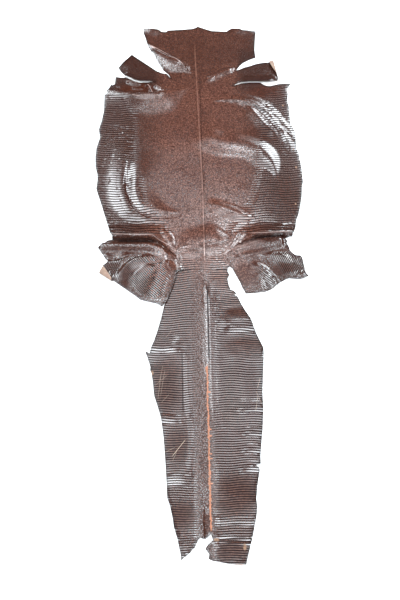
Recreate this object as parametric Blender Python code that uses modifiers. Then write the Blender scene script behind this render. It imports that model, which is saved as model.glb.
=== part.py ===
"""Leather hide: one thin skin laid flat on its flesh side.

The flat outline is triangulated, its folds are raised from a table of ridges, two corners are rolled
over, and Solidify gives the leather its thickness. Tables are in centimetres: x to the right, y towards
the head end. The mesh is in metres, with +Z up and its flat underside on z = 0.
"""

import math

import bmesh
import bpy
import numpy as np
from mathutils import Vector
from mathutils.geometry import delaunay_2d_cdt

CM = 0.01                    # metres in a centimetre
NAME = "hide"
THICKNESS = 0.12             # cm, finished leather
CENTRE = (-0.345, 51.048)    # cm, the middle of the laid hide, which becomes the origin
EDGE_STEP = 0.85             # cm between points along the cut edge
CALM_STEP = 1.7              # cm between points where the skin lies calm
FOLD_OFFSETS = (0.0, -0.34, 0.34, -0.68, 0.68, -1.0, 1.0)   # rows of points along a fold, share of width
FOOT = 0.22                  # how softly a ridge's foot meets the calm skin
LEATHER_COLOR = (0.085, 0.032, 0.022, 1.0)

# ---- cut edge, clockwise from the left neck slit, one table for each stretch: x, y ----
HEAD = [
    (-5.3, 88.2), (-5.72, 89.2), (-6.3, 89.75), (-6.7, 90.2), (-7.3, 91.4), (-8.1, 92.8), (-8.8, 94.6),
    (-9.2, 95.2), (-10.0, 97.0), (-10.3, 98.5), (-10.75, 99.9), (-10.7, 101.1), (-9.0, 100.75),
    (-7.7, 100.5), (-7.2, 100.05), (-6.2, 100.05), (-5.9, 100.45), (-3.0, 100.6), (-1.0, 100.8),
    (-0.3, 101.0), (0.15, 101.35), (0.6, 101.15), (2.0, 100.5), (3.0, 100.1), (5.9, 99.9), (6.4, 100.35),
    (7.0, 100.7), (8.6, 100.4), (9.0, 100.1), (10.4, 99.95), (11.8, 99.85), (11.5, 97.5), (11.3, 95.0),
    (11.4, 93.1), (10.0, 92.5), (9.0, 91.9), (8.2, 91.1), (7.4, 89.9),
]
RIGHT_FORELEG = [
    (8.3, 90.2), (9.0, 90.6), (10.0, 90.9), (11.5, 91.5), (13.0, 91.75), (14.4, 91.8), (16.15, 91.95),
    (16.05, 90.4), (15.75, 88.6), (15.45, 87.3), (14.0, 87.05), (12.3, 87.05), (10.0, 87.1), (8.3, 87.0),
    (7.4, 86.65), (6.6, 86.15),
]
RIGHT_FLANK = [
    (7.5, 86.4), (8.4, 86.72), (10.0, 86.85), (12.0, 86.75), (12.6, 86.3), (13.2, 85.95), (13.9, 85.9),
    (14.5, 86.1), (15.5, 86.35), (17.85, 86.45), (17.4, 85.75), (17.05, 85.2), (17.1, 83.8), (16.9, 82.6),
    (17.1, 80.7), (17.1, 77.1), (17.5, 75.9), (17.8, 75.1), (17.85, 74.0), (17.75, 72.8), (17.75, 71.4),
    (18.1, 70.1), (18.3, 68.0), (18.4, 66.3), (18.4, 64.2), (18.1, 62.9), (17.9, 61.0), (17.5, 59.1),
    (17.05, 57.4), (16.6, 56.3), (16.3, 54.9), (15.8, 53.85), (15.55, 53.2), (15.1, 53.2), (14.75, 53.0),
    (14.35, 52.7),
]
RIGHT_HIND_LEG = [
    (14.75, 52.15), (14.55, 51.85), (14.95, 50.9), (15.0, 50.4), (15.3, 50.0), (15.8, 49.5), (16.2, 49.3),
    (16.7, 49.2), (16.95, 48.8), (17.1, 48.1), (17.3, 46.8), (17.35, 45.9), (17.75, 45.4), (17.3, 45.15),
    (16.5, 44.9), (14.5, 45.1), (13.9, 44.9), (12.9, 44.3), (11.8, 43.4), (11.2, 43.05), (10.2, 42.65),
    (7.1, 42.45), (6.6, 43.5), (6.2, 44.6), (5.4, 46.3), (5.05, 47.1), (4.62, 47.5),
]
TAIL_RIGHT = [
    (4.3, 47.2), (4.2, 46.6), (4.5, 45.95), (4.15, 45.2), (4.3, 44.2), (4.6, 43.2), (5.2, 42.95),
    (5.55, 42.45), (5.15, 42.25), (5.75, 41.9), (6.0, 41.2), (6.8, 39.4), (7.6, 37.9), (8.1, 36.4),
    (8.8, 34.6), (9.47, 32.9), (9.45, 31.9), (9.1, 28.0), (8.9, 25.5), (8.85, 22.5), (8.6, 20.0),
    (8.1, 16.25), (8.0, 14.7), (7.3, 14.55), (7.85, 14.0), (7.4, 11.7), (7.1, 9.7), (7.2, 8.6), (6.95, 7.2),
    (6.5, 5.4), (6.0, 3.6), (5.2, 0.9), (5.1, 0.75),
]
TAIL_END = [
    (4.5, 0.75), (2.5, 1.05), (0.5, 1.45), (-0.1, 1.7), (0.02, 2.3), (-0.52, 3.05), (-0.2, 3.5),
    (0.56, 4.2), (0.38, 5.0), (-0.05, 4.65), (-0.4, 4.35), (-0.8, 4.38), (-1.2, 4.5), (-1.5, 4.25),
    (-1.96, 3.25), (-2.4, 2.9), (-2.7, 2.5), (-3.6, 1.9), (-3.95, 1.5),
]
TAIL_LEFT = [
    (-4.0, 2.25), (-4.5, 4.5), (-5.0, 6.1), (-5.1, 7.0), (-5.5, 8.8), (-5.95, 10.1), (-6.0, 12.0),
    (-6.2, 15.0), (-6.5, 19.0), (-6.9, 21.9), (-7.4, 23.6), (-7.95, 25.3), (-8.2, 27.6), (-8.4, 28.9),
    (-8.63, 29.5), (-8.6, 30.0), (-9.0, 31.3), (-9.47, 32.7), (-8.75, 32.35), (-8.67, 32.8), (-8.1, 34.3),
    (-7.5, 36.3), (-7.0, 38.2), (-6.6, 40.0), (-6.3, 41.0), (-5.9, 42.0), (-5.25, 43.8), (-4.95, 44.8),
    (-4.7, 46.1), (-4.2, 46.75), (-3.1, 47.15),
]
LEFT_HIND_LEG = [
    (-4.3, 47.02), (-4.9, 46.5), (-4.98, 45.6), (-5.15, 44.75), (-5.45, 43.85), (-6.1, 42.05),
    (-6.5, 41.05), (-6.75, 40.36), (-7.3, 40.75), (-8.0, 41.05), (-9.75, 41.45), (-10.45, 41.7),
    (-11.5, 42.6), (-13.0, 43.7), (-15.0, 45.25), (-15.87, 44.64), (-16.57, 44.77), (-18.57, 45.29),
    (-17.15, 46.8), (-16.86, 48.15), (-16.3, 48.6), (-16.03, 49.0), (-16.28, 49.2), (-17.24, 50.55),
    (-17.8, 51.5), (-17.2, 52.0), (-16.8, 52.2), (-16.4, 52.7), (-15.9, 53.0),
]
LEFT_FLANK = [
    (-15.4, 53.05), (-15.3, 53.9), (-15.65, 54.3), (-16.3, 55.8), (-17.1, 58.4), (-17.65, 60.2),
    (-18.3, 62.2), (-18.65, 63.4), (-18.5, 65.3), (-18.6, 66.5), (-19.0, 68.0), (-19.1, 70.4),
    (-19.0, 72.2), (-18.45, 74.5), (-18.75, 76.4), (-18.3, 78.3), (-17.95, 80.5), (-18.0, 84.4),
    (-17.35, 84.95), (-17.6, 85.3), (-17.2, 85.9), (-16.95, 86.4), (-16.85, 87.05), (-16.55, 86.7),
    (-16.1, 86.95), (-16.0, 88.75), (-14.7, 88.5), (-14.0, 88.6),
]
LEFT_FORELEG = [
    (-13.2, 88.1), (-12.3, 87.55), (-11.5, 87.25), (-10.0, 87.25), (-8.3, 87.4), (-9.5, 87.52),
    (-11.2, 87.6), (-12.3, 87.95), (-13.1, 88.5), (-14.2, 89.1), (-14.9, 89.9), (-15.5, 90.9),
    (-13.0, 94.3), (-8.0, 90.0), (-7.0, 89.5), (-6.1, 89.3),
]
OUTLINE = (HEAD + RIGHT_FORELEG + RIGHT_FLANK + RIGHT_HIND_LEG + TAIL_RIGHT + TAIL_END + TAIL_LEFT
           + LEFT_HIND_LEG + LEFT_FLANK + LEFT_FORELEG)

# ---- flaps that are cut apart from what lies beside them: a fold named for one moves that flap alone ----
ZONES = {
    "left_hind": [
        (-20.0, 53.0), (-3.0, 53.0), (-3.0, 47.17), (-4.25, 46.9), (-4.8, 46.4), (-4.88, 45.5),
        (-5.05, 44.78), (-5.35, 43.8), (-6.0, 42.0), (-6.4, 41.0), (-6.68, 40.2), (-7.0, 39.0), (-20.0, 39.0),
    ],
    "right_fore": [
        (6.5, 86.1), (7.4, 86.5), (8.3, 86.85), (10.0, 86.97), (14.5, 86.95), (17.0, 86.95), (17.0, 93.0),
        (11.5, 92.0), (7.7, 90.1), (6.0, 88.5),
    ],
    "left_fore": [
        (-8.3, 87.4), (-9.5, 87.42), (-11.2, 87.45), (-12.3, 87.75), (-13.1, 88.3), (-14.0, 88.8),
        (-16.5, 89.5), (-16.0, 95.0), (-5.9, 95.0), (-5.6, 89.0), (-7.0, 87.6),
    ],
    "right_tail": [
        (0.38, 5.0), (0.38, 12.0), (9.0, 12.0), (9.0, -1.0), (-1.5, -1.0), (-0.8, 3.6), (0.3, 4.6),
    ],
}

# ---- main folds ----
# lift: height at the crest. left, right: width on each side, seen along the path. round: share of the width
# over which the crest is rounded. lean: how far the crest is carried to the left for each cm of height.
# start: length over which it rises at full width. end: length over which it tapers to a point.
FOLDS = [
    # zone, lift, left, right, round, lean, start, end, path
    # left groin, hind leg
    ("", 0.95, 2.4, 1.0, 0.45, -0.62, 0.0, 6.0, [
        (-15.7, 53.85), (-13.0, 53.85), (-10.0, 53.8), (-8.2, 53.6), (-6.9, 53.0), (-6.0, 52.0),
        (-5.2, 50.8), (-4.2, 49.6), (-3.4, 48.4)]),
    ("", 0.4, 0.8, 1.3, 0.3, 0.3, 0.0, 4.0, [
        (-17.2, 51.9), (-13.0, 51.7), (-10.0, 51.7), (-8.7, 51.5), (-7.3, 50.9), (-6.2, 50.0),
        (-5.0, 49.2), (-4.1, 48.2)]),
    ("", 0.32, 1.0, 0.7, 0.3, -0.5, 0.0, 2.5, [
        (-16.4, 49.35), (-14.7, 49.4), (-13.4, 49.9), (-11.0, 50.35)]),
    ("", 0.3, 0.9, 1.3, 0.3, 0.0, 3.0, 3.0, [
        (-14.3, 44.8), (-13.4, 47.0), (-11.8, 48.6), (-9.4, 49.4), (-6.8, 49.3)]),
    ("", 0.3, 1.1, 1.5, 0.3, 0.0, 2.5, 2.5, [
        (-12.3, 44.0), (-11.3, 46.0), (-9.6, 47.4), (-7.2, 47.9)]),
    ("left_hind", 0.5, 4.2, 4.2, 0.2, -0.8, 1.2, 1.6, [
        (-6.72, 40.4), (-6.1, 42.0), (-5.45, 43.8), (-4.98, 45.4), (-4.6, 46.8), (-3.1, 47.2)]),
    # right groin, hind leg
    ("", 0.8, 0.9, 2.2, 0.45, 0.6, 0.0, 5.0, [
        (15.7, 53.6), (14.0, 53.75), (12.0, 53.75), (10.0, 53.6), (8.6, 53.3), (7.5, 52.8),
        (6.4, 52.1), (5.2, 51.2), (4.0, 50.6)]),
    ("", 0.4, 1.5, 1.1, 0.35, 0.3, 0.6, 4.0, [
        (14.1, 52.4), (12.8, 52.2), (10.5, 51.65), (8.0, 51.2), (6.3, 50.7), (5.0, 50.1), (3.6, 49.4),
        (2.2, 48.9)]),
    ("", 0.28, 1.3, 0.8, 0.3, 0.0, 2.5, 0.0, [
        (7.4, 47.9), (9.6, 47.0), (11.2, 45.3), (12.3, 43.2)]),
    ("", 0.2, 0.9, 1.2, 0.3, 0.0, 2.0, 0.0, [
        (8.4, 46.6), (9.4, 45.2), (9.8, 42.6)]),
    ("", 0.2, 1.0, 1.0, 0.3, 0.0, 2.5, 2.0, [
        (9.6, 48.8), (12.0, 49.4), (14.0, 49.0), (15.6, 47.8)]),
    # tail, lengthwise
    ("", 0.1, 0.35, 0.35, 0.3, 0.0, 3.0, 8.0, [
        (0.35, 46.5), (0.3, 43.0), (0.27, 38.0), (0.25, 32.0), (0.3, 24.0)]),
    ("", 0.16, 1.3, 0.5, 0.3, 0.0, 7.0, 6.0, [
        (1.2, 46.0), (1.15, 38.0), (1.1, 32.0), (1.1, 26.0), (1.2, 20.0)]),
    ("", 0.15, 0.75, 0.8, 0.3, 0.0, 4.0, 3.0, [
        (-2.5, 11.5), (-2.3, 15.0), (-1.8, 19.0), (-2.2, 22.0), (-2.6, 26.0), (-2.7, 29.5),
        (-2.8, 33.6)]),
    ("", 0.2, 0.4, 1.2, 0.2, 0.0, 0.0, 2.0, [
        (-0.35, 4.3), (-0.4, 6.5), (-0.4, 9.5)]),
    # tail, across its left half
    ("", 0.32, 1.5, 1.2, 0.15, 0.0, 3.0, 0.0, [
        (-2.4, 33.4), (-6.5, 33.4), (-9.8, 33.4)]),
    ("", 0.24, 4.0, 3.6, 0.3, 0.0, 4.0, 0.0, [
        (-2.4, 27.8), (-6.5, 27.6), (-9.2, 27.6)]),
    ("", 0.2, 1.1, 0.9, 0.15, 0.0, 3.0, 0.0, [
        (-2.4, 21.9), (-5.0, 21.8), (-7.4, 21.9)]),
    ("", 0.28, 2.2, 2.0, 0.25, 0.0, 4.0, 0.0, [
        (-1.2, 13.6), (-4.5, 13.5), (-6.8, 13.4)]),
    # tail, across its right half
    ("", 0.46, 1.8, 2.4, 0.25, 0.0, 5.0, 0.0, [
        (1.4, 36.8), (6.0, 37.2), (9.6, 37.2)]),
    ("", 0.3, 3.2, 4.0, 0.3, 0.0, 5.0, 0.0, [
        (1.6, 31.2), (6.0, 31.0), (10.0, 31.0)]),
    ("", 0.24, 1.4, 1.6, 0.3, 0.0, 4.0, 0.0, [
        (2.8, 23.5), (6.5, 23.6), (9.6, 23.6)]),
    ("", 0.17, 0.9, 1.2, 0.3, 0.0, 3.0, 0.0, [
        (4.2, 19.6), (6.8, 19.7), (9.4, 19.7)]),
    ("", 0.16, 0.9, 1.2, 0.3, 0.0, 3.0, 0.0, [
        (4.2, 17.2), (6.8, 17.2), (9.0, 17.2)]),
    ("", 0.2, 1.1, 1.4, 0.3, 0.0, 3.0, 0.0, [
        (4.0, 14.5), (6.5, 14.5), (8.6, 14.6)]),
    ("", 0.22, 2.2, 2.6, 0.3, 0.0, 2.5, 0.0, [
        (-0.3, 7.4), (3.5, 7.3), (7.6, 7.2)]),
    ("right_tail", 0.22, 1.8, 1.0, 0.4, -0.3, 2.0, 0.0, [
        (-0.2, 4.6), (3.5, 4.6), (7.0, 4.2)]),
    # forelegs and neck
    ("right_fore", 0.45, 1.4, 1.8, 0.3, 0.6, 1.5, 2.5, [
        (15.6, 87.05), (12.3, 87.05), (9.5, 87.05), (6.8, 86.3)]),
    ("left_fore", 0.35, 1.3, 1.0, 0.3, -0.5, 1.0, 2.0, [
        (-14.4, 89.2), (-12.3, 87.9), (-10.5, 87.5), (-8.0, 87.4)]),
    ("", 0.26, 0.9, 0.6, 0.3, 0.0, 0.0, 3.0, [
        (-10.2, 97.7), (-6.9, 95.3), (-4.5, 93.5), (-0.8, 90.3)]),
    ("", 0.9, 1.1, 2.8, 0.3, 0.0, 1.0, 4.5, [
        (-9.2, 95.8), (-6.4, 93.9), (-3.8, 92.2), (-1.0, 89.8)]),
    ("", 0.3, 1.0, 1.2, 0.25, 0.0, 3.0, 1.5, [
        (1.0, 87.1), (3.2, 88.5), (5.0, 89.6), (7.4, 90.4)]),
    # left shoulder
    ("", 0.5, 1.6, 4.8, 0.3, 0.0, 12.0, 6.0, [
        (-19.5, 85.8), (-15.5, 84.8), (-12.0, 84.1), (-9.0, 83.9), (-6.0, 84.4), (-1.0, 86.0)]),
    ("", 0.16, 0.8, 0.9, 0.3, 0.0, 1.5, 3.0, [
        (-18.6, 85.9), (-16.0, 84.9), (-13.5, 84.0), (-10.5, 83.3)]),
    ("", 0.3, 0.6, 0.6, 0.3, 0.0, 0.8, 1.0, [
        (-13.8, 87.6), (-12.5, 86.9), (-10.8, 86.7)]),
    ("", 0.3, 0.5, 0.6, 0.3, 0.0, 0.8, 0.8, [
        (-9.7, 86.8), (-9.5, 85.6), (-9.0, 84.4)]),
    ("", 0.26, 0.5, 0.6, 0.3, 0.0, 0.8, 0.8, [
        (-8.5, 86.4), (-7.6, 85.8), (-6.4, 85.1)]),
    ("", 0.22, 0.5, 0.5, 0.3, 0.0, 0.8, 0.8, [
        (-12.8, 85.9), (-11.5, 85.6), (-10.4, 85.7)]),
    # right shoulder
    ("", 0.36, 0.8, 2.2, 0.15, 0.0, 3.0, 8.0, [
        (16.6, 70.4), (16.2, 72.8), (15.4, 75.0), (14.3, 77.0), (12.9, 79.2), (11.3, 81.0),
        (9.7, 81.9), (6.3, 82.6), (1.4, 82.5)]),
    ("", 0.24, 2.0, 1.4, 0.2, 0.0, 3.0, 4.0, [
        (15.4, 73.4), (13.7, 75.2), (12.1, 77.0), (10.7, 79.2), (9.2, 81.2), (7.2, 82.0)]),
    # flanks and back
    ("", 0.54, 0.8, 3.9, 0.15, 0.0, 15.0, 13.0, [
        (-13.1, 77.0), (-13.5, 70.0), (-13.8, 66.5), (-13.8, 63.4), (-13.3, 61.4), (-12.1, 59.0),
        (-10.2, 57.3), (-7.7, 56.7), (-3.0, 57.0)]),
    ("", 0.4, 4.6, 1.9, 0.15, 0.0, 8.0, 10.0, [
        (-11.0, 72.0), (-11.3, 67.5), (-11.5, 64.8), (-11.4, 62.4), (-10.5, 60.3), (-8.6, 58.9),
        (-5.9, 58.1), (-2.0, 58.2)]),
    ("", 0.34, 2.4, 3.8, 0.3, 0.0, 4.0, 7.0, [
        (-0.8, 76.0), (3.8, 73.4), (7.4, 72.8), (10.4, 71.6), (12.4, 69.6), (13.5, 67.2),
        (13.8, 64.0)]),
    ("", 0.3, 4.4, 1.9, 0.4, 0.0, 4.0, 4.0, [
        (-5.6, 51.6), (-3.0, 51.7), (0.0, 51.9), (4.0, 52.8), (6.0, 53.2)]),
]

# ---- soft swells: x, y, radius along x, radius along y, lift ----
SWELLS = [
    (17.0, 48.8, 1.6, 1.2, 0.35),
    (16.9, 45.5, 1.4, 1.1, 0.35),
    (9.3, 101.0, 3.2, 2.6, 0.35),
    (-8.5, 101.0, 2.6, 2.6, 0.3),
    (-14.6, 92.0, 2.6, 2.4, 0.25),
    (8.6, 27.0, 2.6, 5.0, 0.12),
    (-7.6, 24.0, 2.6, 4.0, 0.1),
    (-3.9, 2.0, 1.4, 1.8, 0.25),
    (2.6, 0.9, 3.2, 1.4, 0.25),
]

# ---- corners rolled over with the flesh side up ----
# The axis starts at (x, y) and runs along (along x, along y). What lies on its far side rolls round a
# radius, and past half a turn it comes back flat over the skin.
ROLLS = [
    # x, y, along x, along y, radius, length of the axis, reach of the rolled leather
    (-15.0, 45.25, -0.814, 0.581, 0.3, 3.6, 2.3),
    (15.25, 87.2, -0.15, 0.989, 0.3, 5.4, 1.9),
]
ROLL_ROWS = (0.0, 0.24, 0.47, 0.71, 0.94, 1.45, 2.0)     # cm past the axis where rows of points lie


def clear_scene():
    """Remove what the open file holds."""
    for old in list(bpy.data.objects):
        bpy.data.objects.remove(old, do_unlink=True)


def resample(path, step, closed=False):
    """Points on a broken line, at most step apart, with every corner kept."""
    corners = np.array(path, dtype=float)
    ends = np.roll(corners, -1, axis=0) if closed else corners[1:]
    points = []
    for start, end in zip(corners, ends):
        count = max(1, math.ceil(np.linalg.norm(end - start) / step))
        points.extend(start + (end - start) * i / count for i in range(count))
    if not closed:
        points.append(corners[-1])
    return np.array(points)


def smooth_path(path, step=0.25):
    """A smooth line through the path's points: places, unit tangents and lengths from its start."""
    knots = np.array([path[0]] + list(path) + [path[-1]], dtype=float)
    points = []
    for a, b, c, d in zip(knots, knots[1:], knots[2:], knots[3:]):
        count = max(2, math.ceil(np.linalg.norm(c - b) / step))
        for t in np.arange(count) / count:
            points.append(0.5 * (2 * b + (c - a) * t + (2 * a - 5 * b + 4 * c - d) * t ** 2
                                 + (3 * b - a - 3 * c + d) * t ** 3))
    points.append(knots[-1])
    points = np.array(points)
    tangents = np.gradient(points, axis=0)
    tangents /= np.linalg.norm(tangents, axis=1)[:, None]
    steps = np.linalg.norm(np.diff(points, axis=0), axis=1)
    return points, tangents, np.concatenate([[0.0], np.cumsum(steps)])


def inside(points, polygon):
    """True for the points that lie in the polygon."""
    x, y = points[:, 0], points[:, 1]
    result = np.zeros(len(points), dtype=bool)
    for (x1, y1), (x2, y2) in zip(polygon, polygon[1:] + polygon[:1]):
        if y1 == y2:
            continue
        crosses = (y1 > y) != (y2 > y)
        result ^= crosses & (x < (x2 - x1) * (y - y1) / (y2 - y1) + x1)
    return result


def fade(distance, length):
    """0 to 1 over the length, with level ends."""
    if length <= 0.0:
        return np.ones_like(distance)
    t = np.clip(distance / length, 0.0, 1.0)
    return t * t * (3.0 - 2.0 * t)


def ridge_profile(reach, crest):
    """1 on a ridge's crest and 0 at its foot, with straight sides between a rounded crest and a soft foot."""
    side = 1.0 - (np.sqrt(reach ** 2 + crest ** 2) - crest) / (math.sqrt(1.0 + crest ** 2) - crest)
    side = np.clip(side, 0.0, 1.0)
    return np.where(side < 2 * FOOT, side ** 2 / (4 * FOOT), side - FOOT) / (1.0 - FOOT)


def fold_offsets(points, fold):
    """How one fold moves the flat points: a sideways shift and a height."""
    zone, lift, left, right, crest, lean, start, end, path = fold
    line, tangents, lengths = smooth_path(path)
    shift = np.zeros_like(points)
    heights = np.zeros(len(points))
    reach = max(left, right)
    low, high = line.min(axis=0) - reach, line.max(axis=0) + reach
    near = np.flatnonzero(np.all((points > low) & (points < high), axis=1))
    if len(near) == 0:
        return shift, heights
    place = points[near]
    nearest = np.argmin(np.sum((place[:, None, :] - line[None, :, :]) ** 2, axis=2), axis=1)
    tangent = tangents[nearest]
    normal = np.stack([-tangent[:, 1], tangent[:, 0]], axis=1)
    away = place - line[nearest]
    side = np.sum(away * normal, axis=1)
    past = np.sum(away * tangent, axis=1)
    along = lengths[nearest] + past
    beyond = np.where((nearest == 0) | (nearest == len(line) - 1), np.abs(past), 0.0)
    taper = fade(lengths[-1] - along, end)
    width = np.where(side > 0.0, left, right) * np.maximum(taper, 0.05)
    reach = np.sqrt((side / width) ** 2 + (beyond / min(left, right)) ** 2)
    height = lift * fade(along, start) * taper * ridge_profile(reach, crest)
    if zone:
        height = np.where(inside(place, ZONES[zone]), height, 0.0)
    shift[near] = normal * (lean * height)[:, None]
    heights[near] = height
    return shift, heights


def roll_over(flat, laid, roll):
    """Roll the leather past one axis up and back over the skin."""
    x, y, along_x, along_y, radius, length, reach = roll
    along = np.array([along_x, along_y]) / math.hypot(along_x, along_y)
    out = np.array([along[1], -along[0]])
    if np.dot(out, np.array([x, y]) - np.array(CENTRE)) < 0.0:
        out = -out
    place = flat - np.array([x, y])
    t = place @ along
    s = place @ out
    rolled = (t > 0.0) & (t < length) & (s > 0.0) & (s < reach + 1.0)
    half_turn = math.pi * radius
    angle = np.minimum(s / radius, math.pi)
    new_s = np.where(s < half_turn, radius * np.sin(angle), half_turn - s)
    shift = (new_s - s)[:, None] * out
    result = laid.copy()
    result[rolled, :2] += shift[rolled]
    result[rolled, 2] += (radius * (1.0 - np.cos(angle)))[rolled]
    return result


def lay(points):
    """The flat pattern's points as they lie: folds, swells and rolled corners, in cm."""
    shift = np.zeros_like(points)
    height = np.zeros(len(points))
    for fold in FOLDS:
        fold_shift, fold_height = fold_offsets(points, fold)
        shift += fold_shift
        height += fold_height
    for x, y, radius_x, radius_y, lift in SWELLS:
        reach = ((points[:, 0] - x) / radius_x) ** 2 + ((points[:, 1] - y) / radius_y) ** 2
        height += lift * np.clip(1.0 - reach, 0.0, 1.0) ** 2
    laid = np.column_stack([points + shift, height])
    for roll in ROLLS:
        laid = roll_over(points, laid, roll)
    return laid


def pattern_points():
    """The cut edge, rows of points along each fold and roll, and a calm lattice between them."""
    edge = resample(OUTLINE, EDGE_STEP, closed=True)
    kept = list(edge)

    def add(candidates, gap):
        candidates = np.array(candidates)
        for point in candidates[inside(candidates, OUTLINE)]:
            if np.min(np.sum((np.array(kept) - point) ** 2, axis=1)) > gap ** 2:
                kept.append(point)

    for x, y, along_x, along_y, radius, length, reach in ROLLS:
        along = np.array([along_x, along_y])
        out = np.array([along[1], -along[0]])
        out *= math.copysign(1.0, np.dot(out, np.array([x, y]) - np.array(CENTRE)))
        for row in ROLL_ROWS:
            add([np.array([x, y]) + along * t + out * row for t in np.arange(0.3, length, 0.6)], 0.2)
    for zone, lift, left, right, crest, lean, start, end, path in FOLDS:
        line, tangents, lengths = smooth_path(path)
        normals = np.stack([-tangents[:, 1], tangents[:, 0]], axis=1)
        for offset in FOLD_OFFSETS:
            width = left if offset > 0.0 else right
            step = max(0.7, 0.55 * min(left, right))
            marks = np.searchsorted(lengths, np.arange(0.2, lengths[-1], step))
            add(line[marks] + normals[marks] * offset * width, 0.42 * min(0.75, 0.8 * width) + 0.1)
    xs = np.arange(-20.0, 20.0, CALM_STEP)
    ys = np.arange(0.0, 102.0, CALM_STEP * math.sqrt(0.75))
    lattice = [(x + (0.5 * CALM_STEP if row % 2 else 0.0), y) for row, y in enumerate(ys) for x in xs]
    add(lattice, 0.62 * CALM_STEP)
    return np.array(kept), len(edge)


def leather_material():
    """Glazed brown leather."""
    material = bpy.data.materials.new("glazed_leather")
    material.use_nodes = True
    shader = material.node_tree.nodes["Principled BSDF"]
    shader.inputs["Base Color"].default_value = LEATHER_COLOR
    shader.inputs["Roughness"].default_value = 0.3
    shader.inputs["Metallic"].default_value = 0.0
    return material


def build_hide(collection):
    """One open surface with Solidify: the underside stays at the laid height, the skin side is above."""
    points, edge_count = pattern_points()
    edges = [(i, (i + 1) % edge_count) for i in range(edge_count)]
    coords = [Vector((float(x), float(y))) for x, y in points]
    flat, _, faces, *_ = delaunay_2d_cdt(coords, edges, [list(range(edge_count))], 1, 1e-6)
    laid = lay(np.array([tuple(v) for v in flat]))
    laid[:, 0] -= CENTRE[0]
    laid[:, 1] -= CENTRE[1]
    mesh = bpy.data.meshes.new(NAME)
    mesh.from_pydata([tuple(p * CM) for p in laid], [], faces)
    shape = bmesh.new()
    shape.from_mesh(mesh)
    bmesh.ops.recalc_face_normals(shape, faces=shape.faces)
    calm = min(shape.faces, key=lambda face: face.calc_center_median().length)
    if calm.normal.z < 0.0:
        bmesh.ops.reverse_faces(shape, faces=shape.faces)
    shape.to_mesh(mesh)
    shape.free()
    hide = bpy.data.objects.new(NAME, mesh)
    hide.data.materials.append(leather_material())
    solid = hide.modifiers.new("thickness", "SOLIDIFY")
    solid.thickness = THICKNESS * CM
    solid.offset = 1.0
    solid.use_even_offset = True
    solid.use_rim = True
    collection.objects.link(hide)
    return hide


def main():
    clear_scene()
    collection = bpy.data.collections.new("leather_hide")
    bpy.context.scene.collection.children.link(collection)
    build_hide(collection)


main()
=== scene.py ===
"""Leather hide: the glazed skin laid flat on a white table, seen from above its tail.

The skin is one sheet. Its flat pattern is triangulated along its scale rows, its folds are raised from a
table, two corners are rolled over, and it gets its thickness and the relief of its scale rows. Tables are
in centimetres, x to the right and y towards the head end. Meshes are in metres.
"""

import math

import bmesh
import bpy
import numpy as np
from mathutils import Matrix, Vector
from mathutils.geometry import delaunay_2d_cdt
from mathutils.kdtree import KDTree


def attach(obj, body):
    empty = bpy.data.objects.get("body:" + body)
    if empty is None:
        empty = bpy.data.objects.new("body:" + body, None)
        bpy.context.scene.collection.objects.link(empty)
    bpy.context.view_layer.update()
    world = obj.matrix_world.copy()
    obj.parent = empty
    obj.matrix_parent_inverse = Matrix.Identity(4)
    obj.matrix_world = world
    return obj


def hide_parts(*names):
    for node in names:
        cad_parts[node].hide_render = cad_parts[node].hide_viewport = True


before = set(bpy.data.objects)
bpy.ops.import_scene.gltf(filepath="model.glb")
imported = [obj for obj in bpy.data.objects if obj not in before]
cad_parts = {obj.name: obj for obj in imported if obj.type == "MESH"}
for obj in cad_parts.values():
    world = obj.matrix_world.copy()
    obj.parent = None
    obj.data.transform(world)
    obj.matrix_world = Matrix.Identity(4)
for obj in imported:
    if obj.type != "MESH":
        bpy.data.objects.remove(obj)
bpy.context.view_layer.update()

CM = 0.01                    # metres in a centimetre
THICKNESS = 0.12             # cm, finished leather
CENTRE = (-0.345, 51.048)    # cm, the middle of the laid hide, which is the frame's origin
EDGE_STEP = 0.4              # cm between points along the cut edge
COLUMN_STEP = 0.36           # cm between columns of points
CALM_STEP = 0.32             # cm between points where there are no scale rows
ROW_LINES = (0.0, 0.16, 0.84)    # where lines of points run within a scale row, from groove to groove
ROW_RELIEF = 0.035           # cm from groove to crest of a scale row
FINE_STEP = 0.005            # cm between the places that are tried when a row's lines are laid out
# least distance in cm from the cut edge, and from the points that are there before
ROLL_GAP = 0.08
CREASE_GAPS = (0.1, 0.16)
LATTICE_GAPS = (0.07, 0.13)
STEEP = 0.3                  # lift for its width from which a fold gets points of its own
CREASE_SHARES = (0.3, 0.65, 1.0)    # where these run on each side, as shares of the width
FOOT = 0.22                  # how softly a ridge's foot meets the calm skin
THIN_END = 0.05              # share of its width that a fold keeps where it tapers out
RIM_DROP = 0.012             # cm that the skin side is lower right at the cut edge
RIM_WIDTH = 0.5              # cm over which the cut edge's darker rim fades
SHARP_ANGLE = 20.0           # degrees between faces that are shaded with an edge
SCALY_FROM = 0.25            # strength of the scale rows from which they get points of their own

# ---- cut edge, clockwise from the left neck slit, one table for each stretch: x, y ----
HEAD = [
    (-5.3, 88.2), (-5.72, 89.2), (-6.3, 89.75), (-6.7, 90.2), (-7.3, 91.4), (-8.1, 92.8), (-8.8, 94.6),
    (-9.2, 95.2), (-10.0, 97.0), (-10.3, 98.5), (-10.75, 99.9), (-10.7, 101.1), (-9.0, 100.75),
    (-7.7, 100.5), (-7.2, 100.05), (-6.2, 100.05), (-5.9, 100.45), (-3.0, 100.6), (-1.0, 100.8),
    (-0.3, 101.0), (0.15, 101.35), (0.6, 101.15), (2.0, 100.5), (3.0, 100.1), (5.9, 99.9), (6.4, 100.35),
    (7.0, 100.7), (8.6, 100.4), (9.0, 100.1), (10.4, 99.95), (11.8, 99.85), (11.5, 97.5), (11.3, 95.0),
    (11.4, 93.1), (10.0, 92.5), (9.0, 91.9), (8.2, 91.1), (7.4, 89.9),
]
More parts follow.
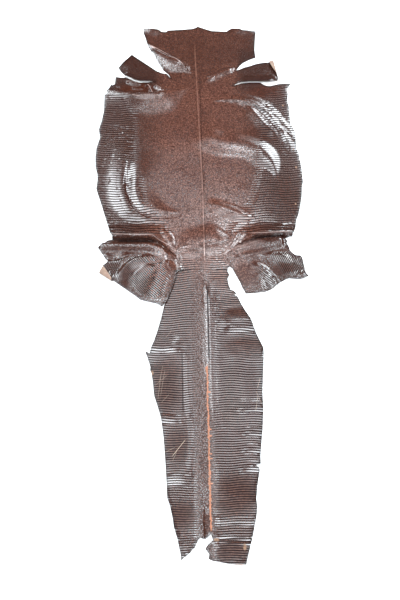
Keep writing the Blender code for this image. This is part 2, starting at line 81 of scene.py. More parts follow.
RIGHT_FORELEG = [
    (8.3, 90.2), (9.0, 90.6), (10.0, 90.9), (11.5, 91.5), (13.0, 91.75), (14.4, 91.8), (16.15, 91.95),
    (16.05, 90.4), (15.75, 88.6), (15.45, 87.3), (14.0, 87.05), (12.3, 87.05), (10.0, 87.1), (8.3, 87.0),
    (7.4, 86.65), (6.6, 86.15),
]
RIGHT_FLANK = [
    (7.5, 86.4), (8.4, 86.72), (10.0, 86.85), (12.0, 86.75), (12.6, 86.3), (13.2, 85.95), (13.9, 85.9),
    (14.5, 86.1), (15.5, 86.35), (17.85, 86.45), (17.4, 85.75), (17.05, 85.2), (17.1, 83.8), (16.9, 82.6),
    (17.1, 80.7), (17.1, 77.1), (17.5, 75.9), (17.8, 75.1), (17.85, 74.0), (17.75, 72.8), (17.75, 71.4),
    (18.1, 70.1), (18.3, 68.0), (18.4, 66.3), (18.4, 64.2), (18.1, 62.9), (17.9, 61.0), (17.5, 59.1),
    (17.05, 57.4), (16.6, 56.3), (16.3, 54.9), (15.8, 53.85), (15.55, 53.2), (15.1, 53.2), (14.75, 53.0),
    (14.35, 52.7),
]
RIGHT_HIND_LEG = [
    (14.75, 52.15), (14.55, 51.85), (14.95, 50.9), (15.0, 50.4), (15.3, 50.0), (15.8, 49.5), (16.2, 49.3),
    (16.7, 49.2), (16.95, 48.8), (17.1, 48.1), (17.3, 46.8), (17.35, 45.9), (17.75, 45.4), (17.3, 45.15),
    (16.5, 44.9), (14.5, 45.1), (13.9, 44.9), (12.9, 44.3), (11.8, 43.4), (11.2, 43.05), (10.2, 42.65),
    (7.1, 42.45), (6.6, 43.5), (6.2, 44.6), (5.4, 46.3), (5.05, 47.1), (4.62, 47.5),
]
TAIL_RIGHT = [
    (4.3, 47.2), (4.2, 46.6), (4.5, 45.95), (4.15, 45.2), (4.3, 44.2), (4.6, 43.2), (5.2, 42.95),
    (5.55, 42.45), (5.15, 42.25), (5.75, 41.9), (6.0, 41.2), (6.8, 39.4), (7.6, 37.9), (8.1, 36.4),
    (8.8, 34.6), (9.47, 32.9), (9.45, 31.9), (9.1, 28.0), (8.9, 25.5), (8.85, 22.5), (8.6, 20.0),
    (8.1, 16.25), (8.0, 14.7), (7.3, 14.55), (7.85, 14.0), (7.4, 11.7), (7.1, 9.7), (7.2, 8.6), (6.95, 7.2),
    (6.5, 5.4), (6.0, 3.6), (5.2, 0.9), (5.1, 0.75),
]
TAIL_END = [
    (4.5, 0.75), (2.5, 1.05), (0.5, 1.45), (-0.1, 1.7), (0.02, 2.3), (-0.52, 3.05), (-0.2, 3.5),
    (0.56, 4.2), (0.38, 5.0), (-0.05, 4.65), (-0.4, 4.35), (-0.8, 4.38), (-1.2, 4.5), (-1.5, 4.25),
    (-1.96, 3.25), (-2.4, 2.9), (-2.7, 2.5), (-3.6, 1.9), (-3.95, 1.5),
]
TAIL_LEFT = [
    (-4.0, 2.25), (-4.5, 4.5), (-5.0, 6.1), (-5.1, 7.0), (-5.5, 8.8), (-5.95, 10.1), (-6.0, 12.0),
    (-6.2, 15.0), (-6.5, 19.0), (-6.9, 21.9), (-7.4, 23.6), (-7.95, 25.3), (-8.2, 27.6), (-8.4, 28.9),
    (-8.63, 29.5), (-8.6, 30.0), (-9.0, 31.3), (-9.47, 32.7), (-8.75, 32.35), (-8.67, 32.8), (-8.1, 34.3),
    (-7.5, 36.3), (-7.0, 38.2), (-6.6, 40.0), (-6.3, 41.0), (-5.9, 42.0), (-5.25, 43.8), (-4.95, 44.8),
    (-4.7, 46.1), (-4.2, 46.75), (-3.1, 47.15),
]
LEFT_HIND_LEG = [
    (-4.3, 47.02), (-4.9, 46.5), (-4.98, 45.6), (-5.15, 44.75), (-5.45, 43.85), (-6.1, 42.05),
    (-6.5, 41.05), (-6.75, 40.36), (-7.3, 40.75), (-8.0, 41.05), (-9.75, 41.45), (-10.45, 41.7),
    (-11.5, 42.6), (-13.0, 43.7), (-15.0, 45.25), (-15.87, 44.64), (-16.57, 44.77), (-18.57, 45.29),
    (-17.15, 46.8), (-16.86, 48.15), (-16.3, 48.6), (-16.03, 49.0), (-16.28, 49.2), (-17.24, 50.55),
    (-17.8, 51.5), (-17.2, 52.0), (-16.8, 52.2), (-16.4, 52.7), (-15.9, 53.0),
]
LEFT_FLANK = [
    (-15.4, 53.05), (-15.3, 53.9), (-15.65, 54.3), (-16.3, 55.8), (-17.1, 58.4), (-17.65, 60.2),
    (-18.3, 62.2), (-18.65, 63.4), (-18.5, 65.3), (-18.6, 66.5), (-19.0, 68.0), (-19.1, 70.4),
    (-19.0, 72.2), (-18.45, 74.5), (-18.75, 76.4), (-18.3, 78.3), (-17.95, 80.5), (-18.0, 84.4),
    (-17.35, 84.95), (-17.6, 85.3), (-17.2, 85.9), (-16.95, 86.4), (-16.85, 87.05), (-16.55, 86.7),
    (-16.1, 86.95), (-16.0, 88.75), (-14.7, 88.5), (-14.0, 88.6),
]
LEFT_FORELEG = [
    (-13.2, 88.1), (-12.3, 87.55), (-11.5, 87.25), (-10.0, 87.25), (-8.3, 87.4), (-9.5, 87.52),
    (-11.2, 87.6), (-12.3, 87.95), (-13.1, 88.5), (-14.2, 89.1), (-14.9, 89.9), (-15.5, 90.9),
    (-13.0, 94.3), (-8.0, 90.0), (-7.0, 89.5), (-6.1, 89.3),
]
OUTLINE = (HEAD + RIGHT_FORELEG + RIGHT_FLANK + RIGHT_HIND_LEG + TAIL_RIGHT + TAIL_END + TAIL_LEFT
           + LEFT_HIND_LEG + LEFT_FLANK + LEFT_FORELEG)

# ---- flaps that are cut apart from what lies beside them: a fold named for one moves that flap alone ----
ZONES = {
    "left_hind": [
        (-20.0, 53.0), (-3.0, 53.0), (-3.0, 47.17), (-4.25, 46.9), (-4.8, 46.4), (-4.88, 45.5),
        (-5.05, 44.78), (-5.35, 43.8), (-6.0, 42.0), (-6.4, 41.0), (-6.68, 40.2), (-7.0, 39.0), (-20.0, 39.0),
    ],
    "right_fore": [
        (6.5, 86.1), (7.4, 86.5), (8.3, 86.85), (10.0, 86.97), (14.5, 86.95), (17.0, 86.95), (17.0, 93.0),
        (11.5, 92.0), (7.7, 90.1), (6.0, 88.5),
    ],
    "left_fore": [
        (-8.3, 87.4), (-9.5, 87.42), (-11.2, 87.45), (-12.3, 87.75), (-13.1, 88.3), (-14.0, 88.8),
        (-16.5, 89.5), (-16.0, 95.0), (-5.9, 95.0), (-5.6, 89.0), (-7.0, 87.6),
    ],
    "right_tail": [
        (0.38, 5.0), (0.38, 12.0), (9.0, 12.0), (9.0, -1.0), (-1.5, -1.0), (-0.8, 3.6), (0.3, 4.6),
    ],
}

# ---- main folds ----
# lift: height at the crest. left, right: width on each side, seen along the path. round: share of the width
# over which the crest is rounded. lean: how far the crest is carried to the left for each cm of height.
# start: length over which it rises at full width. end: length over which it tapers to a point.
FOLDS = [
    # lift, left, right, round, lean, start, end, path, and the flap where it moves one alone
    # left groin, hind leg
    (0.95, 2.4, 1.0, 0.45, -0.62, 0.0, 6.0, [
        (-15.7, 53.85), (-13.0, 53.85), (-10.0, 53.8), (-8.2, 53.6), (-6.9, 53.0), (-6.0, 52.0), (-5.2, 50.8),
        (-4.2, 49.6), (-3.4, 48.4)]),
    (0.4, 0.8, 1.3, 0.3, 0.3, 0.0, 4.0, [
        (-17.2, 51.9), (-13.0, 51.7), (-10.0, 51.7), (-8.7, 51.5), (-7.3, 50.9), (-6.2, 50.0), (-5.0, 49.2),
        (-4.1, 48.2)]),
    (0.32, 1.0, 0.7, 0.3, -0.5, 0.0, 2.5, [(-16.4, 49.35), (-14.7, 49.4), (-13.4, 49.9), (-11.0, 50.35)]),
    (0.3, 0.9, 1.3, 0.3, 0.0, 3.0, 3.0, [
        (-14.3, 44.8), (-13.4, 47.0), (-11.8, 48.6), (-9.4, 49.4), (-6.8, 49.3)]),
    (0.3, 1.1, 1.5, 0.3, 0.0, 2.5, 2.5, [(-12.3, 44.0), (-11.3, 46.0), (-9.6, 47.4), (-7.2, 47.9)]),
    (0.5, 4.2, 4.2, 0.2, -0.8, 1.2, 1.6, [
        (-6.72, 40.4), (-6.1, 42.0), (-5.45, 43.8), (-4.98, 45.4), (-4.6, 46.8), (-3.1, 47.2)], "left_hind"),
    # right groin, hind leg
    (0.8, 0.9, 2.2, 0.45, 0.6, 0.0, 5.0, [
        (15.7, 53.6), (14.0, 53.75), (12.0, 53.75), (10.0, 53.6), (8.6, 53.3), (7.5, 52.8), (6.4, 52.1),
        (5.2, 51.2), (4.0, 50.6)]),
    (0.36, 1.7, 1.2, 0.9, 0.3, 0.6, 4.0, [
        (14.1, 52.4), (12.8, 52.2), (10.5, 51.65), (8.0, 51.2), (6.3, 50.7), (5.0, 50.1), (3.6, 49.4),
        (2.2, 48.9)]),
    (0.28, 1.3, 0.8, 0.3, 0.0, 2.5, 0.0, [(7.4, 47.9), (9.6, 47.0), (11.2, 45.3), (12.3, 43.2)]),
    (0.2, 0.9, 1.2, 0.3, 0.0, 2.0, 0.0, [(8.4, 46.6), (9.4, 45.2), (9.8, 42.6)]),
    (0.2, 1.0, 1.0, 0.3, 0.0, 2.5, 2.0, [(9.6, 48.8), (12.0, 49.4), (14.0, 49.0), (15.6, 47.8)]),
    # tail, lengthwise
    (0.1, 0.35, 0.35, 0.3, 0.0, 3.0, 8.0, [
        (0.35, 46.5), (0.3, 43.0), (0.27, 38.0), (0.25, 32.0), (0.3, 24.0)]),
    (0.16, 1.3, 0.5, 0.3, 0.0, 7.0, 6.0, [(1.2, 46.0), (1.15, 38.0), (1.1, 32.0), (1.1, 26.0), (1.2, 20.0)]),
    (0.15, 0.75, 0.8, 0.3, 0.0, 4.0, 3.0, [
        (-2.5, 11.5), (-2.3, 15.0), (-1.8, 19.0), (-2.2, 22.0), (-2.6, 26.0), (-2.7, 29.5), (-2.8, 33.6)]),
    (0.2, 0.4, 1.2, 0.2, 0.0, 0.0, 2.0, [(-0.35, 4.3), (-0.4, 6.5), (-0.4, 9.5)]),
    # tail, across its left half
    (0.32, 1.2, 3.0, 0.15, 0.0, 3.0, 0.0, [(-2.4, 33.2), (-6.5, 33.3), (-9.8, 33.2)]),
    (0.24, 4.0, 3.6, 0.3, 0.0, 4.0, 0.0, [(-2.4, 27.8), (-6.5, 27.6), (-9.2, 27.6)]),
    (0.2, 1.1, 0.9, 0.15, 0.0, 3.0, 0.0, [(-2.4, 21.9), (-5.0, 21.8), (-7.4, 21.9)]),
    (0.28, 2.2, 2.0, 0.25, 0.0, 4.0, 0.0, [(-1.2, 13.6), (-4.5, 13.5), (-6.8, 13.4)]),
    # tail, across its right half
    (0.5, 3.6, 2.1, 0.25, 0.0, 3.0, 0.0, [(1.6, 36.8), (6.0, 37.1), (9.6, 37.2)]),
    (0.3, 3.2, 4.0, 0.3, 0.0, 5.0, 0.0, [(1.6, 31.2), (6.0, 31.0), (10.0, 31.0)]),
    (0.24, 1.4, 1.6, 0.3, 0.0, 4.0, 0.0, [(2.8, 23.5), (6.5, 23.6), (9.6, 23.6)]),
    (0.17, 0.9, 1.2, 0.3, 0.0, 3.0, 0.0, [(4.2, 19.6), (6.8, 19.7), (9.4, 19.7)]),
    (0.16, 0.9, 1.2, 0.3, 0.0, 3.0, 0.0, [(4.2, 17.2), (6.8, 17.2), (9.0, 17.2)]),
    (0.2, 1.1, 1.4, 0.3, 0.0, 3.0, 0.0, [(4.0, 14.5), (6.5, 14.5), (8.6, 14.6)]),
    (0.22, 2.2, 2.6, 0.3, 0.0, 2.5, 0.0, [(-0.3, 7.4), (3.5, 7.3), (7.6, 7.2)]),
    (0.22, 1.8, 1.0, 0.4, -0.3, 2.0, 0.0, [(-0.2, 4.6), (3.5, 4.6), (7.0, 4.2)], "right_tail"),
    # forelegs and neck
    (0.45, 1.4, 1.8, 0.3, 0.6, 1.5, 2.5, [
        (15.6, 87.05), (12.3, 87.05), (9.5, 87.05), (6.8, 86.3)], "right_fore"),
    (0.35, 1.3, 1.0, 0.3, -0.5, 1.0, 2.0, [
        (-14.4, 89.2), (-12.3, 87.9), (-10.5, 87.5), (-8.0, 87.4)], "left_fore"),
    (0.26, 0.9, 0.6, 0.3, 0.0, 0.0, 3.0, [(-10.2, 97.1), (-6.9, 94.6), (-4.5, 92.8), (-0.8, 89.6)]),
    (0.9, 1.1, 2.8, 0.3, 0.0, 1.0, 4.5, [(-9.2, 95.2), (-6.4, 93.2), (-3.8, 91.5), (-1.0, 89.1)]),
    (0.3, 1.0, 1.2, 0.25, 0.0, 3.0, 1.5, [(1.0, 87.1), (3.2, 88.5), (5.0, 89.6), (7.4, 90.4)]),
    # spine
    (0.03, 0.4, 0.4, 0.4, 0.0, 3.0, 3.0, [
        (-0.6, 98.0), (-0.33, 90.3), (-0.19, 84.0), (0.06, 72.5), (0.35, 64.0), (0.4, 52.0), (0.4, 47.0)]),
    # left shoulder
    (0.5, 1.6, 4.8, 0.3, 0.0, 12.0, 6.0, [
        (-19.5, 85.8), (-15.5, 84.8), (-12.0, 84.1), (-9.0, 83.9), (-6.0, 84.4), (-1.0, 86.0)]),
    (0.2, 0.8, 1.0, 0.3, 0.0, 1.5, 3.0, [
        (-18.6, 85.9), (-16.0, 85.0), (-13.5, 84.4), (-11.0, 84.1), (-8.5, 83.9), (-5.6, 84.5)]),
    (0.3, 0.6, 0.6, 0.3, 0.0, 0.8, 1.0, [(-13.8, 87.6), (-12.5, 86.9), (-10.8, 86.7)]),
    (0.3, 0.5, 0.6, 0.3, 0.0, 0.8, 0.8, [(-9.7, 86.8), (-9.5, 85.6), (-9.0, 84.4)]),
    (0.26, 0.5, 0.6, 0.3, 0.0, 0.8, 0.8, [(-8.5, 86.4), (-7.6, 85.8), (-6.4, 85.1)]),
    (0.22, 0.5, 0.5, 0.3, 0.0, 0.8, 0.8, [(-12.8, 85.9), (-11.5, 85.6), (-10.4, 85.7)]),
    # right shoulder
    (0.36, 0.8, 2.2, 0.15, 0.0, 3.0, 8.0, [
        (16.6, 70.4), (16.2, 72.8), (15.4, 75.0), (14.3, 77.0), (12.9, 79.2), (11.3, 81.0), (9.7, 81.9),
        (6.3, 82.6), (1.4, 82.5)]),
    (0.24, 2.0, 1.4, 0.2, 0.0, 3.0, 4.0, [
        (15.4, 73.4), (13.7, 75.2), (12.1, 77.0), (10.7, 79.2), (9.2, 81.2), (7.2, 82.0)]),
    # flanks and back
    (0.54, 0.7, 3.9, 0.15, 0.0, 21.0, 13.0, [
        (-13.1, 77.0), (-13.5, 70.0), (-13.8, 66.5), (-13.8, 63.4), (-13.3, 61.4), (-12.1, 59.0),
        (-10.2, 57.3), (-7.7, 56.7), (-3.0, 57.0)]),
    (0.4, 4.6, 1.9, 0.15, 0.0, 8.0, 10.0, [
        (-11.0, 72.0), (-11.3, 67.5), (-11.5, 64.8), (-11.4, 62.4), (-10.5, 60.3), (-8.6, 58.9), (-5.9, 58.1),
        (-2.0, 58.2)]),
    (0.34, 2.4, 3.8, 0.3, 0.0, 4.0, 7.0, [
        (-0.8, 76.0), (3.8, 73.4), (7.4, 72.8), (10.4, 71.6), (12.4, 69.6), (13.5, 67.2), (13.8, 64.0)]),
    (0.36, 4.4, 1.4, 0.3, 0.0, 4.0, 4.0, [(-5.6, 51.4), (-3.0, 51.5), (0.0, 51.7), (4.0, 52.6), (6.0, 53.0)]),
    (0.22, 1.4, 1.9, 0.5, 0.0, 3.0, 4.0, [(0.5, 60.2), (2.8, 59.4), (5.0, 58.5), (7.5, 57.3), (10.0, 56.7)]),
]

# ---- soft swells: x, y, radius along x, radius along y, lift ----
SWELLS = [
    (17.0, 48.8, 1.6, 1.2, 0.35),
    (16.9, 45.5, 1.4, 1.1, 0.35),
    (9.3, 101.0, 3.2, 2.6, 0.35),
    (-8.5, 101.0, 2.6, 2.6, 0.3),
    (-14.6, 92.0, 2.6, 2.4, 0.25),
    (8.6, 27.0, 2.6, 5.0, 0.12),
    (-7.6, 24.0, 2.6, 4.0, 0.1),
    (-3.9, 2.0, 1.4, 1.8, 0.25),
    (2.6, 0.9, 3.2, 1.4, 0.25),
]

# ---- unevenness of the whole skin: size of its bumps, lift and seed ----
UNEVEN = [
    (6.0, 0.03, 1),
    (2.4, 0.01, 2),
    (0.9, 0.002, 3),
]
WAVES = 24                   # waves that are summed for each
WAVE_LENGTHS = (1.4, 3.2)    # their shortest and longest, for bumps of size 1

# ---- corners rolled over with the flesh side up ----
# The axis starts at (x, y) and runs along (along x, along y). What lies on its far side rolls round a
# radius, and past half a turn it comes back flat over the skin.
ROLLS = [
    # x, y, along x, along y, radius, length of the axis, reach of the rolled leather
    (-15.0, 45.25, -0.814, 0.581, 0.3, 3.6, 2.3),
    (15.25, 87.2, -0.15, 0.989, 0.3, 5.4, 1.9),
]
ROLL_ROWS = (0.0, 0.12, 0.24, 0.36, 0.47, 0.59, 0.71, 0.82, 0.94, 1.2, 1.5, 1.8, 2.1)   # cm past the axis
ROLL_STEP = 0.3              # cm between points along such a row

# ---- scale rows ----
# The rows cross the spine. pitch: height of one row at that y. calm: half width of the middle of the back,
# where fine round grain takes the rows' place.
ROW_PITCH = [
    # y, pitch
    (0.0, 0.32), (8.0, 0.33), (20.0, 0.37), (32.0, 0.39), (43.0, 0.40), (52.0, 0.45), (62.0, 0.5),
    (72.0, 0.48), (86.0, 0.51), (102.0, 0.5),
]
CALM_HALF_WIDTH = [
    # y, half width
    (44.0, 0.0), (47.0, 0.0), (50.0, 2.5), (55.0, 5.0), (60.0, 9.0), (66.0, 10.5), (80.0, 11.5), (84.0, 13.5),
    (87.0, 20.0), (102.0, 20.0),
]
CALM_FADE = 2.5              # cm over which the rows fade into the grain
CALM_MIDDLE = -0.3           # cm, x of the middle of the grain
ROWS_END = 87.0              # cm, y from which there are no rows
WAIST = 47.0                 # cm, y from which the rows bow the other way
# Rows on a leg flap run across the leg. angle: degrees from +x to the direction across the rows.
FLAP_ROWS = [
    # angle, pitch, share of full relief, polygon
    (42.0, 0.3, 1.0, [(-13.2, 45.0), (-13.4, 47.5), (-12.6, 50.4), (-9.0, 50.8), (-6.0, 49.4), (-5.2, 46.0),
                      (-6.6, 41.4), (-10.4, 42.0)]),
    (160.0, 0.3, 1.0, [(-17.4, 47.0), (-16.4, 49.2), (-13.0, 50.0), (-13.5, 47.5), (-13.4, 44.3)]),
    (48.0, 0.3, 1.0, [(8.6, 48.4), (10.6, 47.8), (13.4, 45.0), (11.4, 43.1), (9.6, 42.8)]),
    (152.0, 0.3, 1.0, [(10.6, 49.6), (13.0, 50.3), (15.0, 50.4), (17.2, 49.2), (17.6, 45.3), (13.6, 45.3)]),
    (35.0, 0.32, 0.9, [(-17.6, 84.3), (-16.9, 86.6), (-14.9, 86.8), (-14.6, 84.9)]),
]
# Within this outline the rows between the hind legs are those of the tail.
TAIL_ROOT = [(-9.9, 32.0), (-8.0, 41.0), (-6.7, 40.3), (-5.0, 45.0), (-4.3, 47.1), (-3.2, 49.5), (-3.0, 54.1),
             (3.4, 54.1), (3.4, 49.0), (4.6, 47.3), (7.0, 42.0), (9.9, 32.0)]
FLAP_FADE = 0.9              # cm over which a flap's rows fade at the polygon's edge

# ---- lights, camera and table, in metres ----
CAMERA_PLACE = (-0.00985, -0.51038, 0.97698)
CAMERA_TARGET = (-0.00185, -0.09578, 0.0)
CAMERA_LENS = 38.46          # mm, with a 36 mm sensor along the photo's long side
LIGHT_HEIGHT = 1.5
LIGHTS = [
    # name, middle x, middle y, width, length, radiance
    ("left_box", -0.96, 1.05, 0.6, 3.6, 9.0),
    ("right_box", 0.96, 1.05, 0.6, 3.6, 9.0),
    ("left_low", -0.38, 0.2, 0.4, 0.6, 5.0),
    ("right_low", 0.38, 0.2, 0.4, 0.6, 3.6),
    ("tail_box", 0.0, -0.95, 1.2, 0.7, 9.5),
    ("waist_lamp", 0.08, -0.33, 0.3, 0.09, 11.0),
    ("tail_top", 0.0, 0.06, 0.5, 0.52, 2.2),
    ("tail_mid", -0.05, 0.49, 0.34, 0.36, 2.2),
    ("body_top", 0.0, 1.02, 0.6, 0.64, 0.9),
    ("low_top", -0.12, 1.0, 0.44, 0.3, 1.1),
    ("left_top", -0.21, 0.96, 0.24, 0.24, 1.2),
    ("right_mid", 0.17, 0.73, 0.26, 0.22, 3.5),
    ("right_far", 0.88, 2.05, 0.5, 0.9, 8.0),
    ("left_lamp", -0.24, 0.95, 0.18, 0.16, 16.0),
    ("right_lamp", 0.16, 0.92, 0.24, 0.11, 15.0),
]
# A soft box is four boxes, each a little larger and higher, so that it is dimmer towards its edges.
SOFT_SHARES = (0.4, 0.8, 1.2, 1.6)
BOX_GAP = 0.002
ROOM_ZENITH = (0.16, 0.17, 0.18, 1.0)
ROOM_SIDE = (0.08, 0.085, 0.09, 1.0)
ROOM_SPREAD = (0.84, 0.97)   # share of straight up from which the room brightens, and where it is brightest
LIGHT_COLOR = (0.93, 1.0, 1.04)
FLOOR_COLOR = (0.9, 0.9, 0.9, 1.0)
FLOOR_HALF = 4.0             # half the table's side
FLOOR_DROP = 0.0002          # how far the table lies below the skin


# ---- pattern and folds ----

def resample(path, step, closed=False):
    """Points on a broken line, at most step apart, with every corner kept."""
    corners = np.array(path, dtype=float)
    ends = np.roll(corners, -1, axis=0) if closed else corners[1:]
    points = []
    for start, end in zip(corners, ends):
        count = max(1, math.ceil(np.linalg.norm(end - start) / step))
        points.extend(start + (end - start) * i / count for i in range(count))
    if not closed:
        points.append(corners[-1])
    return np.array(points)


def smooth_path(path, step=0.25):
    """A smooth line through the path's points: places, unit tangents and lengths from its start."""
    knots = np.array([path[0]] + list(path) + [path[-1]], dtype=float)
    points = []
    for a, b, c, d in zip(knots, knots[1:], knots[2:], knots[3:]):
        count = max(2, math.ceil(np.linalg.norm(c - b) / step))
        for t in np.arange(count) / count:
            points.append(0.5 * (2 * b + (c - a) * t + (2 * a - 5 * b + 4 * c - d) * t ** 2
                                 + (3 * b - a - 3 * c + d) * t ** 3))
    points.append(knots[-1])
    points = np.array(points)
    tangents = np.gradient(points, axis=0)
    tangents /= np.linalg.norm(tangents, axis=1)[:, None]
    steps = np.linalg.norm(np.diff(points, axis=0), axis=1)
    return points, tangents, np.concatenate([[0.0], np.cumsum(steps)])


def inside(points, polygon):
    """True for the points that lie in the polygon."""
    x, y = points[:, 0], points[:, 1]
    result = np.zeros(len(points), dtype=bool)
    for (x1, y1), (x2, y2) in zip(polygon, polygon[1:] + polygon[:1]):
        if y1 == y2:
            continue
        crosses = (y1 > y) != (y2 > y)
        result ^= crosses & (x < (x2 - x1) * (y - y1) / (y2 - y1) + x1)
    return result


def edge_distance(points, polygon):
    """Distance from each point to the polygon's edge."""
    best = np.full(len(points), 1e9)
    for a, b in zip(polygon, polygon[1:] + polygon[:1]):
        a, b = np.array(a), np.array(b)
        run = b - a
        t = np.clip((points - a) @ run / (run @ run), 0.0, 1.0)
        best = np.minimum(best, np.linalg.norm(points - (a + t[:, None] * run), axis=1))
    return best


def fade(distance, length):
    """0 to 1 over the length, with level ends."""
    if length <= 0.0:
        return np.ones_like(distance)
    t = np.clip(distance / length, 0.0, 1.0)
    return t * t * (3.0 - 2.0 * t)


def ridge_profile(reach, crest):
    """1 on a ridge's crest and 0 at its foot, with straight sides between a rounded crest and a soft foot."""
    side = 1.0 - (np.sqrt(reach ** 2 + crest ** 2) - crest) / (math.sqrt(1.0 + crest ** 2) - crest)
    side = np.clip(side, 0.0, 1.0)
    return np.where(side < 2 * FOOT, side ** 2 / (4 * FOOT), side - FOOT) / (1.0 - FOOT)


def fold_offsets(points, fold):
    """How one fold moves the flat points: a sideways shift and a height."""
    lift, left, right, crest, lean, start, end, path, *flap = fold
    line, tangents, lengths = smooth_path(path)
    shift = np.zeros_like(points)
    heights = np.zeros(len(points))
    reach = max(left, right)
    low, high = line.min(axis=0) - reach, line.max(axis=0) + reach
    near = np.flatnonzero(np.all((points > low) & (points < high), axis=1))
    if len(near) == 0:
        return shift, heights
    place = points[near]
    nearest = np.argmin(np.sum((place[:, None, :] - line[None, :, :]) ** 2, axis=2), axis=1)
    tangent = tangents[nearest]
    normal = np.stack([-tangent[:, 1], tangent[:, 0]], axis=1)
    away = place - line[nearest]
    side = np.sum(away * normal, axis=1)
    past = np.sum(away * tangent, axis=1)
    along = lengths[nearest] + past
    beyond = np.where((nearest == 0) | (nearest == len(line) - 1), np.abs(past), 0.0)
    taper = fade(lengths[-1] - along, end)
    width = np.where(side > 0.0, left, right) * np.maximum(taper, THIN_END)
    reach = np.sqrt((side / width) ** 2 + (beyond / min(left, right)) ** 2)
    height = lift * fade(along, start) * taper * ridge_profile(reach, crest)
    if flap:
        height = np.where(inside(place, ZONES[flap[0]]), height, 0.0)
    shift[near] = normal * (lean * height)[:, None]
    heights[near] = height
    return shift, heights


def roll_axes(x, y, along_x, along_y):
    """A rolled corner's start, the direction of its axis, and the direction out across it."""
    start = np.array([x, y])
    out = np.array([along_y, -along_x])
    out = out * math.copysign(1.0, np.dot(out, start - np.array(CENTRE)))
    return start, np.array([along_x, along_y]), out


def roll_over(flat, laid, roll):
    """Roll the leather past one axis up and back over the skin."""
    *axis, radius, length, reach = roll
    start, along, out = roll_axes(*axis)
    place = flat - start
    along = along / np.linalg.norm(along)
    out = out / np.linalg.norm(out)
    t = place @ along
    s = place @ out
    rolled = (t > 0.0) & (t < length) & (s > 0.0) & (s < reach + 1.0)
    half_turn = math.pi * radius
    angle = np.minimum(s / radius, math.pi)
    new_s = np.where(s < half_turn, radius * np.sin(angle), half_turn - s)
    shift = (new_s - s)[:, None] * out
    result = laid.copy()
    result[rolled, :2] += shift[rolled]
    result[rolled, 2] += (radius * (1.0 - np.cos(angle)))[rolled]
    return result


def uneven(points, size, seed):
    """Smooth unevenness from -1 to 1 whose bumps are about the size in cm."""
    rng = np.random.default_rng(seed)
    total = np.zeros(len(points))
    for _ in range(WAVES):
        turn = rng.uniform(0.0, 2.0 * math.pi)
        length = size * rng.uniform(*WAVE_LENGTHS)
        way = np.array([math.cos(turn), math.sin(turn)]) * 2.0 * math.pi / length
        total += np.sin(points @ way + rng.uniform(0.0, 2.0 * math.pi))
    return total / math.sqrt(WAVES / 2.0) * 0.5


def lay(points):
    """The flat pattern's points as they lie: folds, swells and rolled corners, in cm."""
    shift = np.zeros_like(points)
    height = np.zeros(len(points))
    for fold in FOLDS:
        fold_shift, fold_height = fold_offsets(points, fold)
        shift += fold_shift
        height += fold_height
    for x, y, radius_x, radius_y, lift in SWELLS:
        reach = ((points[:, 0] - x) / radius_x) ** 2 + ((points[:, 1] - y) / radius_y) ** 2
        height += lift * np.clip(1.0 - reach, 0.0, 1.0) ** 2
    for size, lift, seed in UNEVEN:
        height += lift * (1.0 + uneven(points, size, seed))
    laid = np.column_stack([points + shift, height])
    for roll in ROLLS:
        laid = roll_over(points, laid, roll)
    return laid


# ---- scale rows ----

def table_value(table, at):
    """A table's value at these places, straight between its rows."""
    keys, values = zip(*table)
    return np.interp(at, keys, values)


Y_STEP = 0.05                # cm between the places at which the rows are counted
ROW_YS = np.arange(-1.0, 103.0, Y_STEP)
ROW_NUMBERS = np.concatenate([[0.0], np.cumsum(Y_STEP / table_value(ROW_PITCH, ROW_YS[:-1] + 0.5 * Y_STEP))])


def row_number(x, y):
    """The number of the scale row at a place, with its fraction running from groove to groove."""
    wander = 0.3 * np.sin(0.43 * x + 0.11 * y) + 0.16 * np.sin(1.27 * x - 0.31 * y + 1.7)
    slope = 0.05 * np.abs(x) * np.where(y > WAIST, -1.2, 1.0)
    return np.interp(y, ROW_YS, ROW_NUMBERS) + wander + slope


def row_strength(x, y):
    """1 where the skin has full scale rows, 0 where it has fine grain."""
    calm = table_value(CALM_HALF_WIDTH, y)
    reach = np.abs(x - CALM_MIDDLE) - calm + CALM_FADE * 0.5 * (calm > 0.0)
    return fade(reach, CALM_FADE) * (y < ROWS_END)


def on_hind_leg(points):
    """True for the points on the two hind leg flaps."""
    low = (points[:, 1] < 54.0) & (points[:, 1] > 40.0)
    return low & ~inside(points, TAIL_ROOT)


def flap_row_number(x, y, angle, pitch):
    """The number of the scale row at a place on a leg flap."""
    turn = math.radians(angle)
    return (x * math.cos(turn) + y * math.sin(turn)) / pitch + 0.25 * np.sin(0.9 * x + 0.5 * y)


def row_fields(points):
    """Row number, place along the row in cm, and strength of the rows, for points of the flat pattern."""
    x, y = points[:, 0], points[:, 1]
    number = row_number(x, y)
    across = x.copy()
    strength = row_strength(x, y)
    strength = np.where(on_hind_leg(points), 0.0, strength)
    for angle, pitch, share, polygon in FLAP_ROWS:
        within = inside(points, polygon)
        turn = math.radians(angle)
        number = np.where(within, flap_row_number(x, y, angle, pitch), number)
        across = np.where(within, -x * math.sin(turn) + y * math.cos(turn), across)
        strength = np.where(within, share * fade(edge_distance(points, polygon), FLAP_FADE), strength)
    return number, across, strength


def row_relief(number):
    """Height within a scale row, from 0 in the groove to 1 on the crest."""
    part = number - np.floor(number)
    return fade(np.minimum(part, 1.0 - part), ROW_LINES[1])


# ---- mesh ----

def row_crossings(numbers):
    """The indices at which the row numbers pass each line of a scale row, one line after the other."""
    return [np.flatnonzero(np.diff(np.floor(numbers - line).astype(int)) == 1) for line in ROW_LINES]


